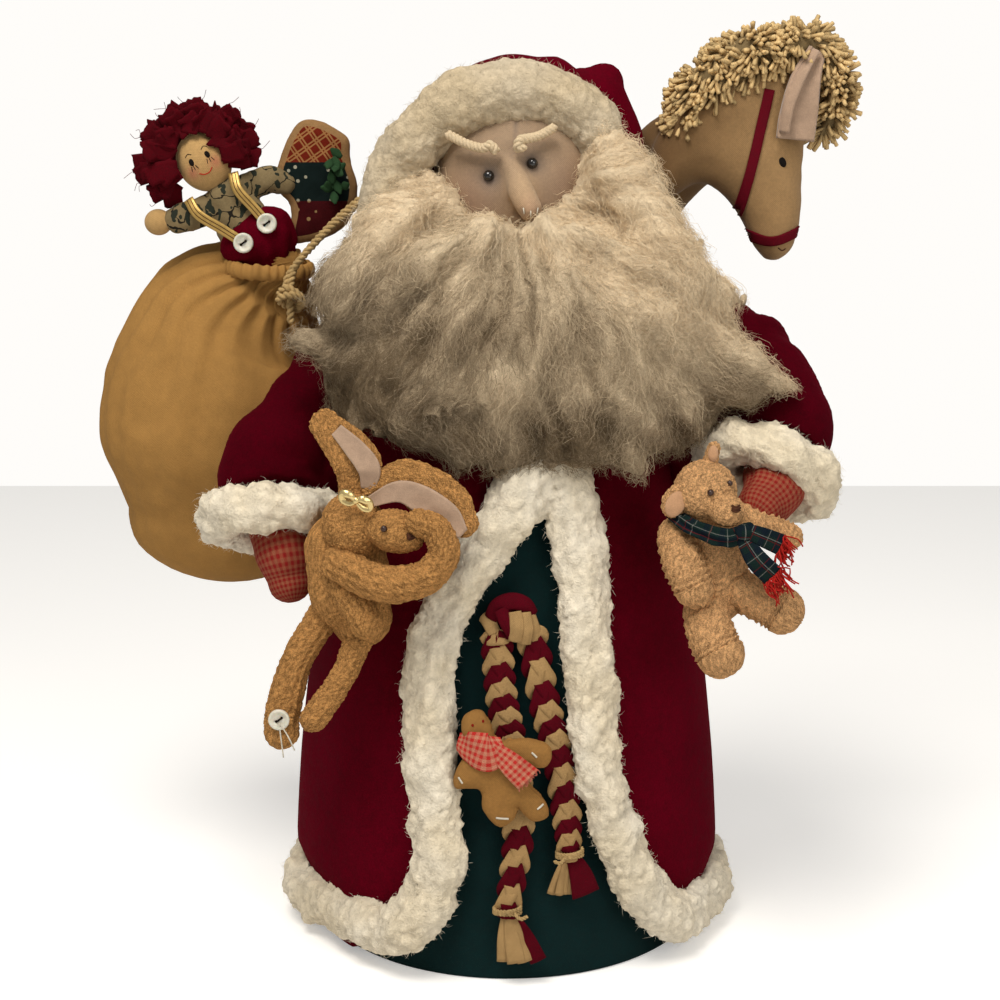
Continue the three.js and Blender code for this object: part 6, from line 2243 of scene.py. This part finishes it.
class SANTA_OT_coat_trim(bpy.types.Operator):
    """Make the fleece down the coat's edges and hem"""
    bl_idname = "santa.coat_trim"
    bl_label = "Coat trim"

    def execute(self, context):
        make_coat_trim()
        return {"FINISHED"}


class SANTA_OT_sleeves(bpy.types.Operator):
    """Make both sleeves"""
    bl_idname = "santa.sleeves"
    bl_label = "Sleeves"

    def execute(self, context):
        make_sleeves()
        return {"FINISHED"}


class SANTA_OT_cuffs(bpy.types.Operator):
    """Make both fleece cuffs"""
    bl_idname = "santa.cuffs"
    bl_label = "Cuffs"

    def execute(self, context):
        make_cuffs()
        return {"FINISHED"}


class SANTA_OT_mittens(bpy.types.Operator):
    """Make both mittens"""
    bl_idname = "santa.mittens"
    bl_label = "Mittens"

    def execute(self, context):
        make_mittens()
        return {"FINISHED"}


class SANTA_OT_head(bpy.types.Operator):
    """Make the head, eyes and eyebrows"""
    bl_idname = "santa.head"
    bl_label = "Head"

    def execute(self, context):
        make_head()
        return {"FINISHED"}


class SANTA_OT_hood(bpy.types.Operator):
    """Make the hood"""
    bl_idname = "santa.hood"
    bl_label = "Hood"

    def execute(self, context):
        make_hood()
        return {"FINISHED"}


class SANTA_OT_hood_trim(bpy.types.Operator):
    """Make the hood's fleece edge"""
    bl_idname = "santa.hood_trim"
    bl_label = "Hood trim"

    def execute(self, context):
        make_hood_trim()
        return {"FINISHED"}


class SANTA_OT_beard(bpy.types.Operator):
    """Make the wool beard"""
    bl_idname = "santa.beard"
    bl_label = "Beard"

    def execute(self, context):
        make_beard()
        return {"FINISHED"}


class SANTA_OT_sack(bpy.types.Operator):
    """Make the sack"""
    bl_idname = "santa.sack"
    bl_label = "Sack"

    def execute(self, context):
        make_sack()
        return {"FINISHED"}


class SANTA_OT_sack_cord(bpy.types.Operator):
    """Make the sack's drawstring"""
    bl_idname = "santa.sack_cord"
    bl_label = "Sack cord"

    def execute(self, context):
        make_sack_cord()
        return {"FINISHED"}


class SANTA_OT_doll(bpy.types.Operator):
    """Make the rag doll in the sack"""
    bl_idname = "santa.doll"
    bl_label = "Doll"

    def execute(self, context):
        make_doll()
        return {"FINISHED"}


class SANTA_OT_ornament(bpy.types.Operator):
    """Make the patchwork ornament"""
    bl_idname = "santa.ornament"
    bl_label = "Ornament"

    def execute(self, context):
        make_ornament()
        return {"FINISHED"}


class SANTA_OT_horse(bpy.types.Operator):
    """Make the horse head, ears and bridle"""
    bl_idname = "santa.horse"
    bl_label = "Horse"

    def execute(self, context):
        make_horse()
        return {"FINISHED"}


class SANTA_OT_mane(bpy.types.Operator):
    """Make the horse's mane"""
    bl_idname = "santa.mane"
    bl_label = "Mane"

    def execute(self, context):
        make_mane()
        return {"FINISHED"}


class SANTA_OT_belt(bpy.types.Operator):
    """Make the braided belt"""
    bl_idname = "santa.belt"
    bl_label = "Belt"

    def execute(self, context):
        make_belt()
        return {"FINISHED"}


class SANTA_OT_gingerbread(bpy.types.Operator):
    """Make the gingerbread figure"""
    bl_idname = "santa.gingerbread"
    bl_label = "Gingerbread"

    def execute(self, context):
        make_gingerbread()
        return {"FINISHED"}


class SANTA_OT_rabbit(bpy.types.Operator):
    """Make the rabbit"""
    bl_idname = "santa.rabbit"
    bl_label = "Rabbit"

    def execute(self, context):
        make_rabbit()
        return {"FINISHED"}


class SANTA_OT_bear(bpy.types.Operator):
    """Make the bear"""
    bl_idname = "santa.bear"
    bl_label = "Bear"

    def execute(self, context):
        make_bear()
        return {"FINISHED"}


class SANTA_OT_stage(bpy.types.Operator):
    """Make the floor, lamps and camera"""
    bl_idname = "santa.stage"
    bl_label = "Stage"

    def execute(self, context):
        make_stage()
        return {"FINISHED"}


OPERATORS = (
    SANTA_OT_materials, SANTA_OT_gown, SANTA_OT_coat, SANTA_OT_coat_trim, SANTA_OT_sleeves, SANTA_OT_cuffs,
    SANTA_OT_mittens, SANTA_OT_head, SANTA_OT_hood, SANTA_OT_hood_trim, SANTA_OT_beard, SANTA_OT_sack,
    SANTA_OT_sack_cord, SANTA_OT_doll, SANTA_OT_ornament, SANTA_OT_horse, SANTA_OT_mane, SANTA_OT_belt,
    SANTA_OT_gingerbread, SANTA_OT_rabbit, SANTA_OT_bear, SANTA_OT_stage,
)


class SANTA_PT_panel(bpy.types.Panel):
    """Sizes, colours and pieces of the figure"""
    bl_label = "Santa"
    bl_idname = "SANTA_PT_panel"
    bl_space_type = "VIEW_3D"
    bl_region_type = "UI"
    bl_category = "Santa"

    def draw(self, context):
        for settings in (context.scene.santa_sizes, context.scene.santa_colours):
            for name in settings.__annotations__:
                self.layout.prop(settings, name)
        for made in OPERATORS:
            self.layout.operator(made.bl_idname)


CLASSES = [SantaSizes, SantaColours, *OPERATORS, SANTA_PT_panel]


def register():
    for kind in CLASSES:
        bpy.utils.register_class(kind)
    bpy.types.Scene.santa_sizes = PointerProperty(type=SantaSizes)
    bpy.types.Scene.santa_colours = PointerProperty(type=SantaColours)


def unregister():
    del bpy.types.Scene.santa_colours
    del bpy.types.Scene.santa_sizes
    for kind in reversed(CLASSES):
        bpy.utils.unregister_class(kind)


def main():
    register()
    for made in OPERATORS:
        run = getattr(bpy.ops.santa, made.bl_idname.split(".")[1])
        if run() != {"FINISHED"}:
            raise RuntimeError(f"{made.bl_label} didn't finish")


if __name__ == "__main__":
    main()
